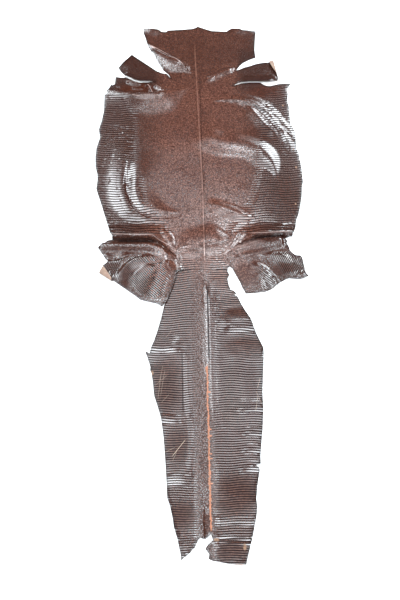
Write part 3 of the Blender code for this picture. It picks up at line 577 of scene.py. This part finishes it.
def lattice_points():
    """Points on the grooves and shoulders of the scale rows, and an even lattice where there are none."""
    points = []
    ys = np.arange(0.0, 102.0, FINE_STEP)
    for x in np.arange(-19.5, 19.5, COLUMN_STEP):
        xs = np.full_like(ys, x)
        numbers = row_number(xs, ys)
        column = np.column_stack([xs, ys])
        scaly = (row_strength(xs, ys) > SCALY_FROM) & ~on_hind_leg(column)
        for crossing in row_crossings(numbers):
            points.extend((x, ys[i]) for i in crossing if scaly[i])
        sparse = slice(None, None, int(round(CALM_STEP / FINE_STEP)))
        points.extend((x, y) for y, s in zip(ys[sparse], scaly[sparse]) if not s)
    points = np.array(points)
    for angle, pitch, _, polygon in FLAP_ROWS:
        points = np.concatenate([points[~inside(points, polygon)], flap_lattice(angle, pitch, polygon)])
    return points


def flap_lattice(angle, pitch, polygon):
    """Points on the grooves and shoulders of the rows of one leg flap."""
    turn = math.radians(angle)
    across = np.array([math.cos(turn), math.sin(turn)])
    along = np.array([-math.sin(turn), math.cos(turn)])
    corners = np.array(polygon)
    us, vs = corners @ across, corners @ along
    us = np.arange(us.min(), us.max(), FINE_STEP)
    points = []
    for v in np.arange(vs.min(), vs.max(), COLUMN_STEP):
        column = us[:, None] * across + v * along
        numbers = flap_row_number(column[:, 0], column[:, 1], angle, pitch)
        for crossing in row_crossings(numbers):
            points.extend(column[crossing])
    points = np.array(points)
    return points[inside(points, polygon)]


def crease_points(fold):
    """Rows of points along a steep fold, so that its crest and foot stay sharp."""
    lift, left, right, *_, path = fold[:8]
    if lift < STEEP * min(left, right):
        return np.empty((0, 2))
    line, tangents, _ = smooth_path(path)
    normals = np.column_stack([-tangents[:, 1], tangents[:, 0]])
    offsets = [0.0] + [share * width for width in (left, -right) for share in CREASE_SHARES]
    points = np.concatenate([line + normals * offset for offset in offsets])
    for flap in fold[8:]:
        points = points[inside(points, ZONES[flap])]
    return points


def well_inside(points, gap):
    """The points that lie on the skin, further than the gap from its cut edge."""
    points = points[inside(points, OUTLINE)]
    return points[edge_distance(points, OUTLINE) > gap]


def pattern_points():
    """The cut edge, rows of points along the rolled corners, and the lattice between them."""
    edge = resample(OUTLINE, EDGE_STEP, closed=True)
    fixed = list(edge)
    for *axis, _, length, _ in ROLLS:
        start, along, out = roll_axes(*axis)
        rows = np.array([start + along * t + out * row
                         for row in ROLL_ROWS for t in np.arange(0.2, length, ROLL_STEP)])
        fixed.extend(well_inside(rows, ROLL_GAP))
    creases = np.concatenate([crease_points(fold) for fold in FOLDS])
    fixed = thinned(fixed, well_inside(creases, CREASE_GAPS[0]), CREASE_GAPS[1])
    lattice = well_inside(lattice_points(), LATTICE_GAPS[0])
    return np.array(thinned(fixed, lattice, LATTICE_GAPS[1])), len(edge)


def thinned(fixed, more, gap):
    """The fixed points, and those of the others that keep the gap from them."""
    tree = KDTree(len(fixed))
    for index, (x, y) in enumerate(fixed):
        tree.insert((x, y, 0.0), index)
    tree.balance()
    kept = [tuple(p) for p in more if tree.find((p[0], p[1], 0.0))[2] > gap]
    return [tuple(p) for p in fixed] + kept


def vertex_normals(places, faces):
    """Normals of the points, from the faces round them."""
    corners = places[faces]
    face_normals = np.cross(corners[:, 1] - corners[:, 0], corners[:, 2] - corners[:, 0])
    normals = np.zeros_like(places)
    for corner in range(3):
        np.add.at(normals, faces[:, corner], face_normals)
    return normals / np.linalg.norm(normals, axis=1)[:, None]


def add_attribute(mesh, name, values):
    """A number or a vector for each point, which the material reads."""
    values = np.asarray(values, dtype=np.float32)
    if values.ndim == 1:
        attribute = mesh.attributes.new(name, "FLOAT", "POINT")
        attribute.data.foreach_set("value", values)
    else:
        attribute = mesh.attributes.new(name, "FLOAT_VECTOR", "POINT")
        attribute.data.foreach_set("vector", values.ravel())


def build_skin(materials):
    """The sheet: its underside lies on the folds, and its skin side follows them at its thickness."""
    points, edge_count = pattern_points()
    edges = [(i, (i + 1) % edge_count) for i in range(edge_count)]
    coords = [Vector((float(x), float(y))) for x, y in points]
    flat, _, faces, *_ = delaunay_2d_cdt(coords, edges, [list(range(edge_count))], 1, 1e-6)
    flat = np.array([tuple(v) for v in flat])
    faces = np.array(faces)
    a, b, c = flat[faces[:, 0]], flat[faces[:, 1]], flat[faces[:, 2]]
    turned = np.cross(b - a, c - a) < 0.0
    faces[turned] = faces[turned][:, ::-1]
    count = len(flat)

    under = lay(flat)
    under[:, 0] -= CENTRE[0]
    under[:, 1] -= CENTRE[1]
    number, across, strength = row_fields(flat)
    normals = vertex_normals(under, faces)
    relief = strength * ROW_RELIEF * (row_relief(number) - 1.0)
    rim = edge_distance(flat, OUTLINE)
    rim_drop = -RIM_DROP * (rim < 0.01)
    over = under + normals * (THICKNESS + relief + rim_drop)[:, None]

    border = {}              # the edges with a face on one side, in order
    for face in faces:
        for i, j in zip(face, np.roll(face, -1)):
            if border.pop((j, i), None) is None:
                border[(i, j)] = True
    sides = [(i, i + count, j + count) for i, j in border] + [(i, j + count, j) for i, j in border]
    all_faces = np.concatenate([faces + count, faces[:, ::-1], np.array(sides)])
    slots = np.concatenate([np.zeros(len(faces)), np.ones(len(faces)), np.full(len(sides), 2)])

    mesh = bpy.data.meshes.new("hide_skin")
    places = np.concatenate([under, over]) * CM
    mesh.from_pydata(places.tolist(), [], all_faces.tolist())
    for material in materials:
        mesh.materials.append(material)
    mesh.polygons.foreach_set("material_index", slots.astype(np.int32))
    mesh.polygons.foreach_set("use_smooth", np.ones(len(all_faces), dtype=bool))
    mesh.set_sharp_from_angle(angle=math.radians(SHARP_ANGLE))
    add_attribute(mesh, "pattern", np.tile(np.column_stack([flat, np.zeros(count)]), (2, 1)))
    add_attribute(mesh, "rows", np.tile(number, 2))
    add_attribute(mesh, "across", np.tile(across, 2))
    add_attribute(mesh, "scaly", np.tile(strength, 2))
    add_attribute(mesh, "rim", np.tile(np.clip(1.0 - rim / RIM_WIDTH, 0.0, 1.0), 2))
    mesh.update()
    skin = bpy.data.objects.new("hide_skin", mesh)
    bpy.context.scene.collection.objects.link(skin)
    return skin


# ---- materials ----

class Nodes:
    """Short calls that add shader nodes to a material or a world."""

    def __init__(self, owner):
        owner.use_nodes = True
        self.owner = owner
        self.tree = owner.node_tree

    def fill(self, node, values):
        """Links or sets a node's inputs, by number or name."""
        for key, value in values.items():
            if isinstance(value, bpy.types.NodeSocket):
                self.tree.links.new(value, node.inputs[key])
            else:
                node.inputs[key].default_value = value

    def look(self, values, shader="Principled BSDF"):
        """Links or sets the shader's inputs, and gives the finished material or world."""
        self.fill(self.tree.nodes[shader], values)
        return self.owner

    def attribute(self, name, output="Fac"):
        """One of the mesh's own numbers or vectors."""
        node = self.tree.nodes.new("ShaderNodeAttribute")
        node.attribute_name = name
        return node.outputs[output]

    def math(self, operation, a, b=0.0, c=0.0):
        """One sum."""
        node = self.tree.nodes.new("ShaderNodeMath")
        node.operation = operation
        self.fill(node, {0: a, 1: b, 2: c})
        return node.outputs[0]

    def times(self, first, *more):
        """The product of some numbers."""
        for value in more:
            first = self.math("MULTIPLY", first, value)
        return first

    def most(self, first, *more):
        """The largest of some numbers."""
        for value in more:
            first = self.math("MAXIMUM", first, value)
        return first

    def rest(self, share):
        """What a share leaves of 1."""
        return self.math("SUBTRACT", 1.0, share)

    def ramp(self, value, low, high, to_low=0.0, to_high=1.0):
        """A smooth step from one value to another."""
        node = self.tree.nodes.new("ShaderNodeMapRange")
        node.interpolation_type = "SMOOTHSTEP"
        self.fill(node, {0: value, 1: low, 2: high, 3: to_low, 4: to_high})
        return node.outputs[0]

    def mix(self, factor, a, b, blend="MIX"):
        """A colour between two."""
        node = self.tree.nodes.new("ShaderNodeMix")
        node.data_type = "RGBA"
        node.blend_type = blend
        self.fill(node, {0: factor, 6: a, 7: b})
        return node.outputs[2]

    def blend(self, factor, a, b):
        """A number between two."""
        node = self.tree.nodes.new("ShaderNodeMix")
        node.data_type = "FLOAT"
        self.fill(node, {0: factor, 2: a, 3: b})
        return node.outputs[0]

    def noise(self, vector, scale, detail=3.0, roughness=0.5):
        """Soft noise from 0 to 1."""
        node = self.tree.nodes.new("ShaderNodeTexNoise")
        self.fill(node, {"Vector": vector, "Scale": scale, "Detail": detail, "Roughness": roughness})
        return node.outputs["Fac"]

    def cells(self, vector, scale, feature):
        """Cells of a Voronoi pattern."""
        node = self.tree.nodes.new("ShaderNodeTexVoronoi")
        node.feature = feature
        self.fill(node, {"Vector": vector, "Scale": scale})
        return node.outputs

    def stretch(self, vector, scale):
        """The vector times three numbers."""
        node = self.tree.nodes.new("ShaderNodeVectorMath")
        node.operation = "MULTIPLY"
        self.fill(node, {0: vector, 1: scale})
        return node.outputs[0]

    def split(self, vector):
        """The vector's x, y and z."""
        node = self.tree.nodes.new("ShaderNodeSeparateXYZ")
        self.fill(node, {0: vector})
        return node.outputs

    def bump(self, height, distance, below=None):
        """A bump whose full height is the distance in metres, on top of another one where that is given."""
        node = self.tree.nodes.new("ShaderNodeBump")
        self.fill(node, {"Height": height, "Distance": distance, "Strength": 1.0})
        if below is not None:
            self.fill(node, {"Normal": below})
        return node.outputs[0]


# Raw strip along the ridge of the tail, where the glaze is rubbed off: y from, y to, middle x, half width
RAW_STRIP = (5.2, 30.6, 0.36, 0.13)
# Rubbed spots that show tan leather, on the tail's end and the flanks: x, y, radius along x and y, share
TAN_SPOTS = [
    (1.1, 4.25, 0.5, 0.3, 1.0), (5.1, 3.2, 0.35, 0.6, 1.0), (4.0, 0.8, 1.0, 0.25, 1.0),
    (6.6, 4.6, 0.2, 0.2, 1.0), (17.4, 67.2, 0.22, 0.3, 1.0), (17.2, 71.1, 0.2, 0.2, 1.0),
    (16.7, 59.5, 0.18, 0.25, 1.0), (16.0, 81.2, 0.25, 0.2, 1.0), (-8.3, 29.0, 0.3, 0.5, 0.9),
]
# Patches where the glaze is duller: x, y, radius along x and y, share of the glaze that is lost
DULL_PATCHES = [
    (-6.3, 27.0, 3.4, 5.8, 0.6), (6.8, 33.2, 4.2, 2.1, 0.8), (5.3, 39.6, 2.6, 1.9, 0.5),
    (3.2, 2.6, 3.2, 1.9, 0.7), (0.74, 37.5, 0.26, 8.5, 0.9), (13.2, 46.5, 2.2, 1.5, 0.6),
    (-12.2, 85.9, 5.0, 1.9, 0.85), (-4.8, 88.9, 2.2, 0.9, 0.5), (12.5, 84.6, 5.0, 1.8, 0.5),
    (3.2, 45.2, 2.6, 2.2, 0.5), (7.2, 46.4, 2.8, 3.0, 0.75), (-13.5, 50.6, 3.8, 1.5, 0.5),
    (14.6, 60.5, 4.5, 6.5, 0.45), (-4.5, 17.6, 2.8, 3.4, 0.5), (-3.6, 7.6, 2.6, 2.8, 0.6),
    (4.4, 40.0, 3.4, 2.4, 0.3), (-6.2, 52.9, 1.8, 1.6, 0.8), (-5.1, 50.2, 1.1, 2.6, 0.75),
    (-4.8, 47.4, 0.9, 1.2, 0.7), (11.5, 74.7, 5.0, 2.6, 0.9), (9.0, 50.4, 3.6, 1.2, 0.6),
    (8.8, 47.2, 1.9, 3.4, 0.5), (13.5, 46.8, 2.3, 1.7, 0.9), (-12.8, 46.2, 1.8, 2.8, 0.9),
    (4.3, 10.3, 4.4, 4.0, 0.8), (7.6, 58.4, 2.6, 1.0, 0.9),
]
# Hollows by the shoulders where the skin is red-brown, painted darker there as shade: x, y, radius along x
# and y, share
SHADED_WARM_HOLLOWS = [
    (-12.0, 85.7, 4.6, 1.7, 0.9), (13.5, 84.4, 5.2, 2.4, 0.8),
]
# Teeth at the right edge of the raw strip: x, y, radius along x and y, share
RAW_TEETH = [
    (0.62, 25.8, 0.4, 0.16, 1.0), (0.6, 20.0, 0.32, 0.16, 1.0), (0.6, 19.0, 0.32, 0.2, 1.0),
    (0.6, 16.3, 0.3, 0.14, 1.0), (0.62, 15.6, 0.34, 0.14, 1.0), (0.6, 12.0, 0.32, 0.16, 1.0),
    (0.3, 29.6, 0.3, 0.4, 1.0),
]
# Pale scratches: x and y of both ends, half width, share
SCRATCHES = [
    (-5.3, 15.9, -3.1, 18.6, 0.05, 0.7), (-6.4, 16.6, -4.7, 17.4, 0.03, 0.4),
    (-5.2, 15.2, -4.4, 17.0, 0.03, 0.4), (-8.0, 26.8, -5.9, 28.6, 0.03, 0.35),
    (-7.4, 24.6, -6.9, 28.8, 0.03, 0.4), (-7.0, 25.0, -6.3, 29.6, 0.03, 0.3),
    (-6.6, 30.4, -7.2, 27.2, 0.03, 0.3), (-6.9, 24.2, -5.6, 25.6, 0.03, 0.3),
    (7.6, 22.4, 8.2, 25.2, 0.04, 0.4), (7.9, 25.8, 8.7, 23.6, 0.04, 0.35), (8.1, 26.2, 8.7, 28.0, 0.04, 0.35),
    (-6.2, 34.8, -5.2, 36.2, 0.03, 0.25),
]
# Crests that are rubbed lighter, and painted highlight where they are glossy: x and y of both ends, half
# width, share
RUBBED_AND_SHEEN_CRESTS = [
    (-15.8, 54.15, -7.6, 53.95, 0.09, 0.5), (-8.4, 53.95, -4.6, 51.1, 0.08, 0.35),
    (15.8, 54.1, 7.6, 53.8, 0.09, 0.4), (-9.5, 96.5, -5.6, 93.6, 0.2, 0.6),
    (-6.2, 94.1, -2.6, 90.9, 0.17, 0.5), (-9.8, 86.9, -8.7, 84.4, 0.12, 0.6),
    (-14.0, 87.6, -11.4, 87.0, 0.12, 0.5), (-8.3, 86.6, -7.0, 85.6, 0.12, 0.5),
    (3.8, 0.75, 4.9, 0.7, 0.2, 0.6), (-12.8, 84.0, -11.0, 83.6, 0.12, 0.35),
    (0.4, 49.4, 0.4, 51.2, 0.08, 0.6), (2.6, 49.4, 5.0, 50.7, 0.1, 0.3), (5.0, 50.7, 9.6, 52.2, 0.1, 0.25),
]
# Soft pale areas on broad crests, painted highlight where the glaze is glossy: x, y, radius along x and y,
# share
PAINTED_SHEEN_SPOTS = [
    (-10.1, 83.4, 2.4, 0.75, 0.4), (-1.8, 49.6, 2.4, 0.75, 0.3), (1.8, 50.4, 3.0, 1.1, 0.25),
    (6.2, 51.1, 2.6, 0.8, 0.3), (8.8, 51.9, 2.6, 0.8, 0.25), (-10.6, 47.6, 2.0, 1.3, 0.15),
    (3.5, 58.1, 1.8, 0.9, 0.25), (6.3, 56.9, 2.4, 0.9, 0.25),
]
# Dark lines painted as shade in creases and valleys, and one along the spine: x and y of both ends, half
# width, share
SHADED_CREASES = [
    (0.72, 30.0, 0.74, 45.0, 0.2, 0.9), (-15.0, 52.7, -7.4, 52.5, 0.5, 0.8),
    (8.0, 53.2, 14.8, 53.45, 0.45, 0.65), (-3.5, 22.0, -3.55, 33.0, 0.16, 0.6),
    (0.62, 47.0, 0.25, 92.0, 0.14, 0.55), (-5.2, 46.8, -3.0, 46.9, 0.35, 0.7),
    (10.2, 81.5, 12.8, 79.3, 0.22, 0.6),
]
SKIN_DARK = (0.03, 0.011, 0.0075, 1.0)
SKIN_MID = (0.143, 0.052, 0.034, 1.0)
SKIN_WARM = (0.178, 0.066, 0.042, 1.0)
# the grooves' own dark colour, also used for the painted shade in creases
GROOVE_AND_SHADE = (0.005, 0.002, 0.0016, 1.0)
GRAIN_GROOVE = (0.022, 0.007, 0.0045, 1.0)
SPINE = (0.26, 0.12, 0.085, 1.0)
RAW = (0.41, 0.15, 0.088, 1.0)
TAN = (0.24, 0.14, 0.09, 1.0)
RUBBED_AND_SHEEN = (0.42, 0.3, 0.27, 1.0)
PAINTED_SHEEN = (0.36, 0.3, 0.29, 1.0)
PALE = (0.5, 0.36, 0.27, 1.0)
WARM_HOLLOW_SHADE = (0.06, 0.016, 0.008, 1.0)
FLESH_DARK = (0.22, 0.145, 0.11, 1.0)
FLESH_PALE = (0.3, 0.21, 0.16, 1.0)
FLESH_NAP = (0.22, 0.12, 0.08, 1.0)
EDGE_DARK = (0.02, 0.009, 0.007, 1.0)
EDGE_PALE = (0.085, 0.04, 0.028, 1.0)
SCALES_PER_CM = 3.1          # scales along a row, and grains on the back
SPINE_LINE = (0.39, 62.0, 0.0275)    # its x, the y from which it drifts left, and how far for each cm
GLAZE_IOR = 2.0
GLAZE_ROUGHNESS = 0.17
FINE_BUMP = 0.00004          # metres, the glaze's own unevenness
GROOVE_BUMP = 0.00002        # metres
FIBRE_BUMP = 0.0002          # metres, on the flesh side and the cut edge


def near_spots(nodes, x, y, spots):
    """Each spot's share in its middle, fading out at its radii."""
    found = []
    for spot_x, spot_y, radius_x, radius_y, share in spots:
        dx = nodes.times(nodes.math("SUBTRACT", x, spot_x), 1.0 / radius_x)
        dy = nodes.times(nodes.math("SUBTRACT", y, spot_y), 1.0 / radius_y)
        square = nodes.math("ADD", nodes.times(dx, dx), nodes.times(dy, dy))
        found.append(nodes.ramp(square, 0.0, 1.0, share, 0.0))
    return nodes.most(*found)


def near_lines(nodes, x, y, table):
    """Each straight line's share on its middle, fading out at its half width and its ends."""
    found = []
    for x1, y1, x2, y2, half, share in table:
        length = math.hypot(x2 - x1, y2 - y1)
        way_x, way_y = (x2 - x1) / length, (y2 - y1) / length
        dx = nodes.math("SUBTRACT", x, 0.5 * (x1 + x2))
        dy = nodes.math("SUBTRACT", y, 0.5 * (y1 + y2))
        along = nodes.math("MULTIPLY_ADD", dx, way_x, nodes.times(dy, way_y))
        across = nodes.math("MULTIPLY_ADD", dy, way_x, nodes.times(dx, -way_y))
        line = nodes.ramp(nodes.math("ABSOLUTE", across), 0.4 * half, half, share, 0.0)
        ends = nodes.ramp(nodes.math("ABSOLUTE", along), 0.35 * length, 0.5 * length, 1.0, 0.0)
        found.append(nodes.times(line, ends))
    return nodes.most(*found)


def chevrons(nodes, x, y):
    """Fine V lines that meet on the spine at the head end."""
    side = nodes.math("ABSOLUTE", nodes.math("ADD", x, 0.35))
    part = nodes.math("FRACT", nodes.times(nodes.math("MULTIPLY_ADD", side, -1.25, y), 1.9))
    line = nodes.ramp(nodes.math("ABSOLUTE", nodes.math("SUBTRACT", part, 0.5)), 0.1, 0.4, 0.8, 0.0)
    near = nodes.ramp(side, 1.0, 2.2, 1.0, 0.0)
    return nodes.times(line, near, nodes.ramp(y, 91.0, 94.0), nodes.ramp(y, 96.5, 98.5, 1.0, 0.0))


def skin_material():
    """Glazed scales: dark grooves, brown scales that vary, round grain on the back and a rubbed raw strip."""
    n = Nodes(bpy.data.materials.new("glazed_scales"))
    pattern = n.attribute("pattern", "Vector")
    rows = n.attribute("rows")
    across = n.attribute("across")
    scaly = n.attribute("scaly")
    rim = n.attribute("rim")
    x, y, _ = n.split(pattern)

    # one scale row, and the scales side by side in it
    row_part = n.math("FRACT", rows)
    row_gap = n.math("MINIMUM", row_part, n.rest(row_part))
    odd = n.math("FRACT", n.times(n.math("FLOOR", rows), 0.5))
    jitter = n.times(n.noise(pattern, 0.9, 1.0), 1.2)
    place = n.math("ADD", n.math("ADD", n.times(across, SCALES_PER_CM), odd), jitter)
    scale_part = n.math("FRACT", place)
    scale_gap = n.math("MINIMUM", scale_part, n.rest(scale_part))
    groove_half = n.ramp(y, 38.0, 56.0, 0.42, 0.3)
    row_groove = n.ramp(row_gap, 0.12, groove_half, 1.0, 0.0)
    scale_groove = n.ramp(scale_gap, 0.02, 0.1, 0.25, 0.0)
    scale_line = n.most(row_groove, scale_groove)

    # round grain
    grain_at = n.stretch(pattern, (1.0, 1.3, 1.0))
    grain = n.cells(grain_at, SCALES_PER_CM, "DISTANCE_TO_EDGE")["Distance"]
    grain_groove = n.ramp(grain, 0.03, 0.24, 0.9, 0.0)
    lines = n.blend(scaly, grain_groove, scale_line)
    lines = n.most(lines, chevrons(n, x, y))

    # rubbed strip on the tail's ridge, with a ragged edge
    start, end, middle, half = RAW_STRIP
    ragged = n.times(n.math("SUBTRACT", n.noise(pattern, 1.8, 5.0, 0.75), 0.5), 0.8)
    lengthwise = n.stretch(pattern, (0.0, 1.0, 0.0))
    drift = n.times(n.math("SUBTRACT", n.noise(lengthwise, 0.35), 0.5), 0.3)
    off = n.math("SUBTRACT", n.math("SUBTRACT", x, middle), drift)
    off = n.math("ABSOLUTE", n.math("ADD", off, ragged))
    raw = n.ramp(off, half * 0.6, half * 1.3, 1.0, 0.0)
    raw = n.times(raw, n.ramp(y, start, start + 0.6), n.ramp(y, end - 1.0, end, 1.0, 0.0))
    raw = n.most(raw, near_spots(n, x, y, RAW_TEETH))

    # the line along the spine
    spine_x, bend_y, bend = SPINE_LINE
    past_bend = n.most(0.0, n.math("SUBTRACT", y, bend_y))
    from_spine = n.math("SUBTRACT", x, n.math("SUBTRACT", spine_x, n.times(bend, past_bend)))
    spine_line = n.ramp(n.math("ABSOLUTE", from_spine), 0.05, 0.16, 1.0, 0.0)
    broken = n.ramp(n.noise(pattern, 1.3), 0.3, 0.6, 0.4, 1.0)
    spine_line = n.times(spine_line, broken, n.ramp(y, 45.0, 50.0), n.ramp(y, 93.0, 98.0, 1.0, 0.0))

    # colours
    broad = n.noise(pattern, 0.13, 4.0, 0.6)
    fine = n.noise(pattern, 2.6, 4.0, 0.65)
    cell, _, _ = n.split(n.cells(grain_at, SCALES_PER_CM, "F1")["Color"])
    clumps = n.noise(pattern, 1.5, 3.0, 0.6)
    color = n.mix(n.ramp(broad, 0.35, 0.65), SKIN_MID, SKIN_WARM)
    back = n.ramp(n.math("ABSOLUTE", x), 5.0, 13.0, 0.0, 0.75)
    legs = n.times(
        n.ramp(n.math("ABSOLUTE", x), 6.0, 9.0), n.ramp(y, 82.0, 86.0), n.ramp(y, 94.0, 97.0, 0.9, 0.3))
    back = n.most(back, n.ramp(y, 84.0, 92.0, 0.0, 0.4), legs)
    color = n.mix(back, color, SKIN_DARK)
    color = n.mix(n.ramp(y, 38.0, 52.0, 0.6, 0.0), color, SKIN_DARK)
    color = n.mix(n.times(n.ramp(fine, 0.4, 0.65), 0.6), color, SKIN_DARK)
    color = n.mix(n.times(n.ramp(clumps, 0.45, 0.7), 0.45), color, SKIN_DARK)
    # painted shade: the shoulder hollows are darkened to a deep red-brown
    color = n.mix(near_spots(n, x, y, SHADED_WARM_HOLLOWS), color, WARM_HOLLOW_SHADE)
    color = n.mix(0.2, color, cell, "SOFT_LIGHT")
    # painted shade: dark lines in creases and valleys
    creases = near_lines(n, x, y, SHADED_CREASES)
    patchy = n.ramp(fine, 0.25, 0.5, 0.3, 1.0)
    # painted highlight: pale sheen on broad glossy crests
    painted_sheen = n.times(near_spots(n, x, y, PAINTED_SHEEN_SPOTS), patchy, n.rest(n.times(lines, 0.6)))
    # rubbed crests: wear, and painted highlight on the glossy ones
    rubbed_and_sheen = n.times(near_lines(n, x, y, RUBBED_AND_SHEEN_CRESTS), patchy)
    scratches = n.times(near_lines(n, x, y, SCRATCHES), n.ramp(fine, 0.3, 0.5, 0.4, 1.0))
    tan = n.times(near_spots(n, x, y, TAN_SPOTS), n.ramp(fine, 0.3, 0.55))
    raw_color = n.mix(n.ramp(n.noise(pattern, 5.0, 3.0), 0.35, 0.7), RAW, TAN)
    for share, tint in (
            (n.times(lines, 0.9), n.mix(scaly, GRAIN_GROOVE, GROOVE_AND_SHADE)), (n.times(rim, 0.55), GROOVE_AND_SHADE),
            (creases, GROOVE_AND_SHADE), (n.times(spine_line, 0.42), SPINE), (painted_sheen, PAINTED_SHEEN), (rubbed_and_sheen, RUBBED_AND_SHEEN),
            (scratches, PALE), (tan, TAN), (raw, raw_color)):
        color = n.mix(share, color, tint)

    # gloss
    bare = n.most(raw, tan)
    dull = n.most(near_spots(n, x, y, DULL_PATCHES), creases)
    gloss = n.ramp(n.noise(pattern, 1.1, 3.0), 0.3, 0.7, 0.12, 0.2)
    gloss = n.math("ADD", gloss, n.times(lines, 0.06))
    glaze = n.times(n.rest(bare), n.rest(lines), n.rest(dull))

    # relief that is finer than the mesh
    shallow = n.noise(pattern, 2.6, 1.0, 0.4)
    first = n.bump(shallow, FINE_BUMP)
    deep = n.bump(n.rest(lines), GROOVE_BUMP, first)
    return n.look({
        "Base Color": color, "Roughness": n.blend(bare, gloss, 0.7), "IOR": 1.5, "Specular IOR Level": 0.12,
        "Coat Weight": glaze, "Coat IOR": GLAZE_IOR, "Coat Roughness": GLAZE_ROUGHNESS, "Normal": deep})


def flesh_material():
    """The suede side, which shows where a corner is rolled over."""
    n = Nodes(bpy.data.materials.new("flesh_side"))
    pattern = n.attribute("pattern", "Vector")
    soft = n.noise(pattern, 1.3, 4.0, 0.6)
    nap = n.noise(pattern, 18.0, 3.0, 0.7)
    color = n.mix(n.ramp(soft, 0.3, 0.7), FLESH_DARK, FLESH_PALE)
    color = n.mix(n.times(nap, 0.35), color, FLESH_NAP)
    bump = n.bump(nap, FIBRE_BUMP)
    return n.look({"Base Color": color, "Roughness": 0.9, "Sheen Weight": 0.2, "Normal": bump})


def edge_material():
    """The dyed cut edge."""
    n = Nodes(bpy.data.materials.new("cut_edge"))
    pattern = n.attribute("pattern", "Vector")
    fibre = n.noise(pattern, 14.0, 3.0, 0.7)
    color = n.mix(fibre, EDGE_DARK, EDGE_PALE)
    return n.look({"Base Color": color, "Roughness": 0.65, "Normal": n.bump(fibre, FIBRE_BUMP)})


# ---- floor, lights and camera ----

def build_floor():
    """A plain white table top."""
    shape = bmesh.new()
    bmesh.ops.create_grid(shape, x_segments=2, y_segments=2, size=FLOOR_HALF)
    mesh = bpy.data.meshes.new("floor")
    shape.to_mesh(mesh)
    shape.free()
    floor = bpy.data.objects.new("floor", mesh)
    floor.location.z = -FLOOR_DROP
    n = Nodes(bpy.data.materials.new("white_table"))
    mesh.materials.append(n.look({"Base Color": FLOOR_COLOR, "Roughness": 0.8}))
    bpy.context.scene.collection.objects.link(floor)


def aim(thing, target, up="Y"):
    """Turns an object so that its -Z points at the target."""
    way = Vector(target) - thing.location
    thing.rotation_mode = "QUATERNION"
    thing.rotation_quaternion = way.to_track_quat("-Z", up)


def build_lights():
    """Soft boxes and small lamps over the table, and a room that is brighter overhead."""
    height = LIGHT_HEIGHT
    for name, x, y, width, length, radiance in LIGHTS:
        margin = 0.5 * min(width, length)
        for share in SOFT_SHARES:
            height += BOX_GAP
            data = bpy.data.lights.new(name, "AREA")
            data.shape = "RECTANGLE"
            data.color = LIGHT_COLOR
            data.size = width + margin * (share - 1.0)
            data.size_y = length + margin * (share - 1.0)
            data.energy = radiance / len(SOFT_SHARES) * math.pi * data.size * data.size_y
            light = bpy.data.objects.new(name, data)
            light.location = (x, y, height)
            bpy.context.scene.collection.objects.link(light)
    n = Nodes(bpy.data.worlds.new("room"))
    up = n.split(n.tree.nodes.new("ShaderNodeTexCoord").outputs["Generated"])[2]
    color = n.mix(n.ramp(up, *ROOM_SPREAD), ROOM_SIDE, ROOM_ZENITH)
    bpy.context.scene.world = n.look({"Color": color}, "Background")
    bpy.context.scene.view_settings.view_transform = "Standard"


def build_camera():
    """The photo's view, from above the tail."""
    data = bpy.data.cameras.new("camera")
    data.lens = CAMERA_LENS
    data.sensor_width = 36.0
    camera = bpy.data.objects.new("camera", data)
    camera.location = CAMERA_PLACE
    aim(camera, CAMERA_TARGET)
    bpy.context.scene.collection.objects.link(camera)
    bpy.context.scene.camera = camera


build_floor()
build_lights()
build_camera()
skin = build_skin([skin_material(), flesh_material(), edge_material()])
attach(skin, "root")
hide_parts("hide")
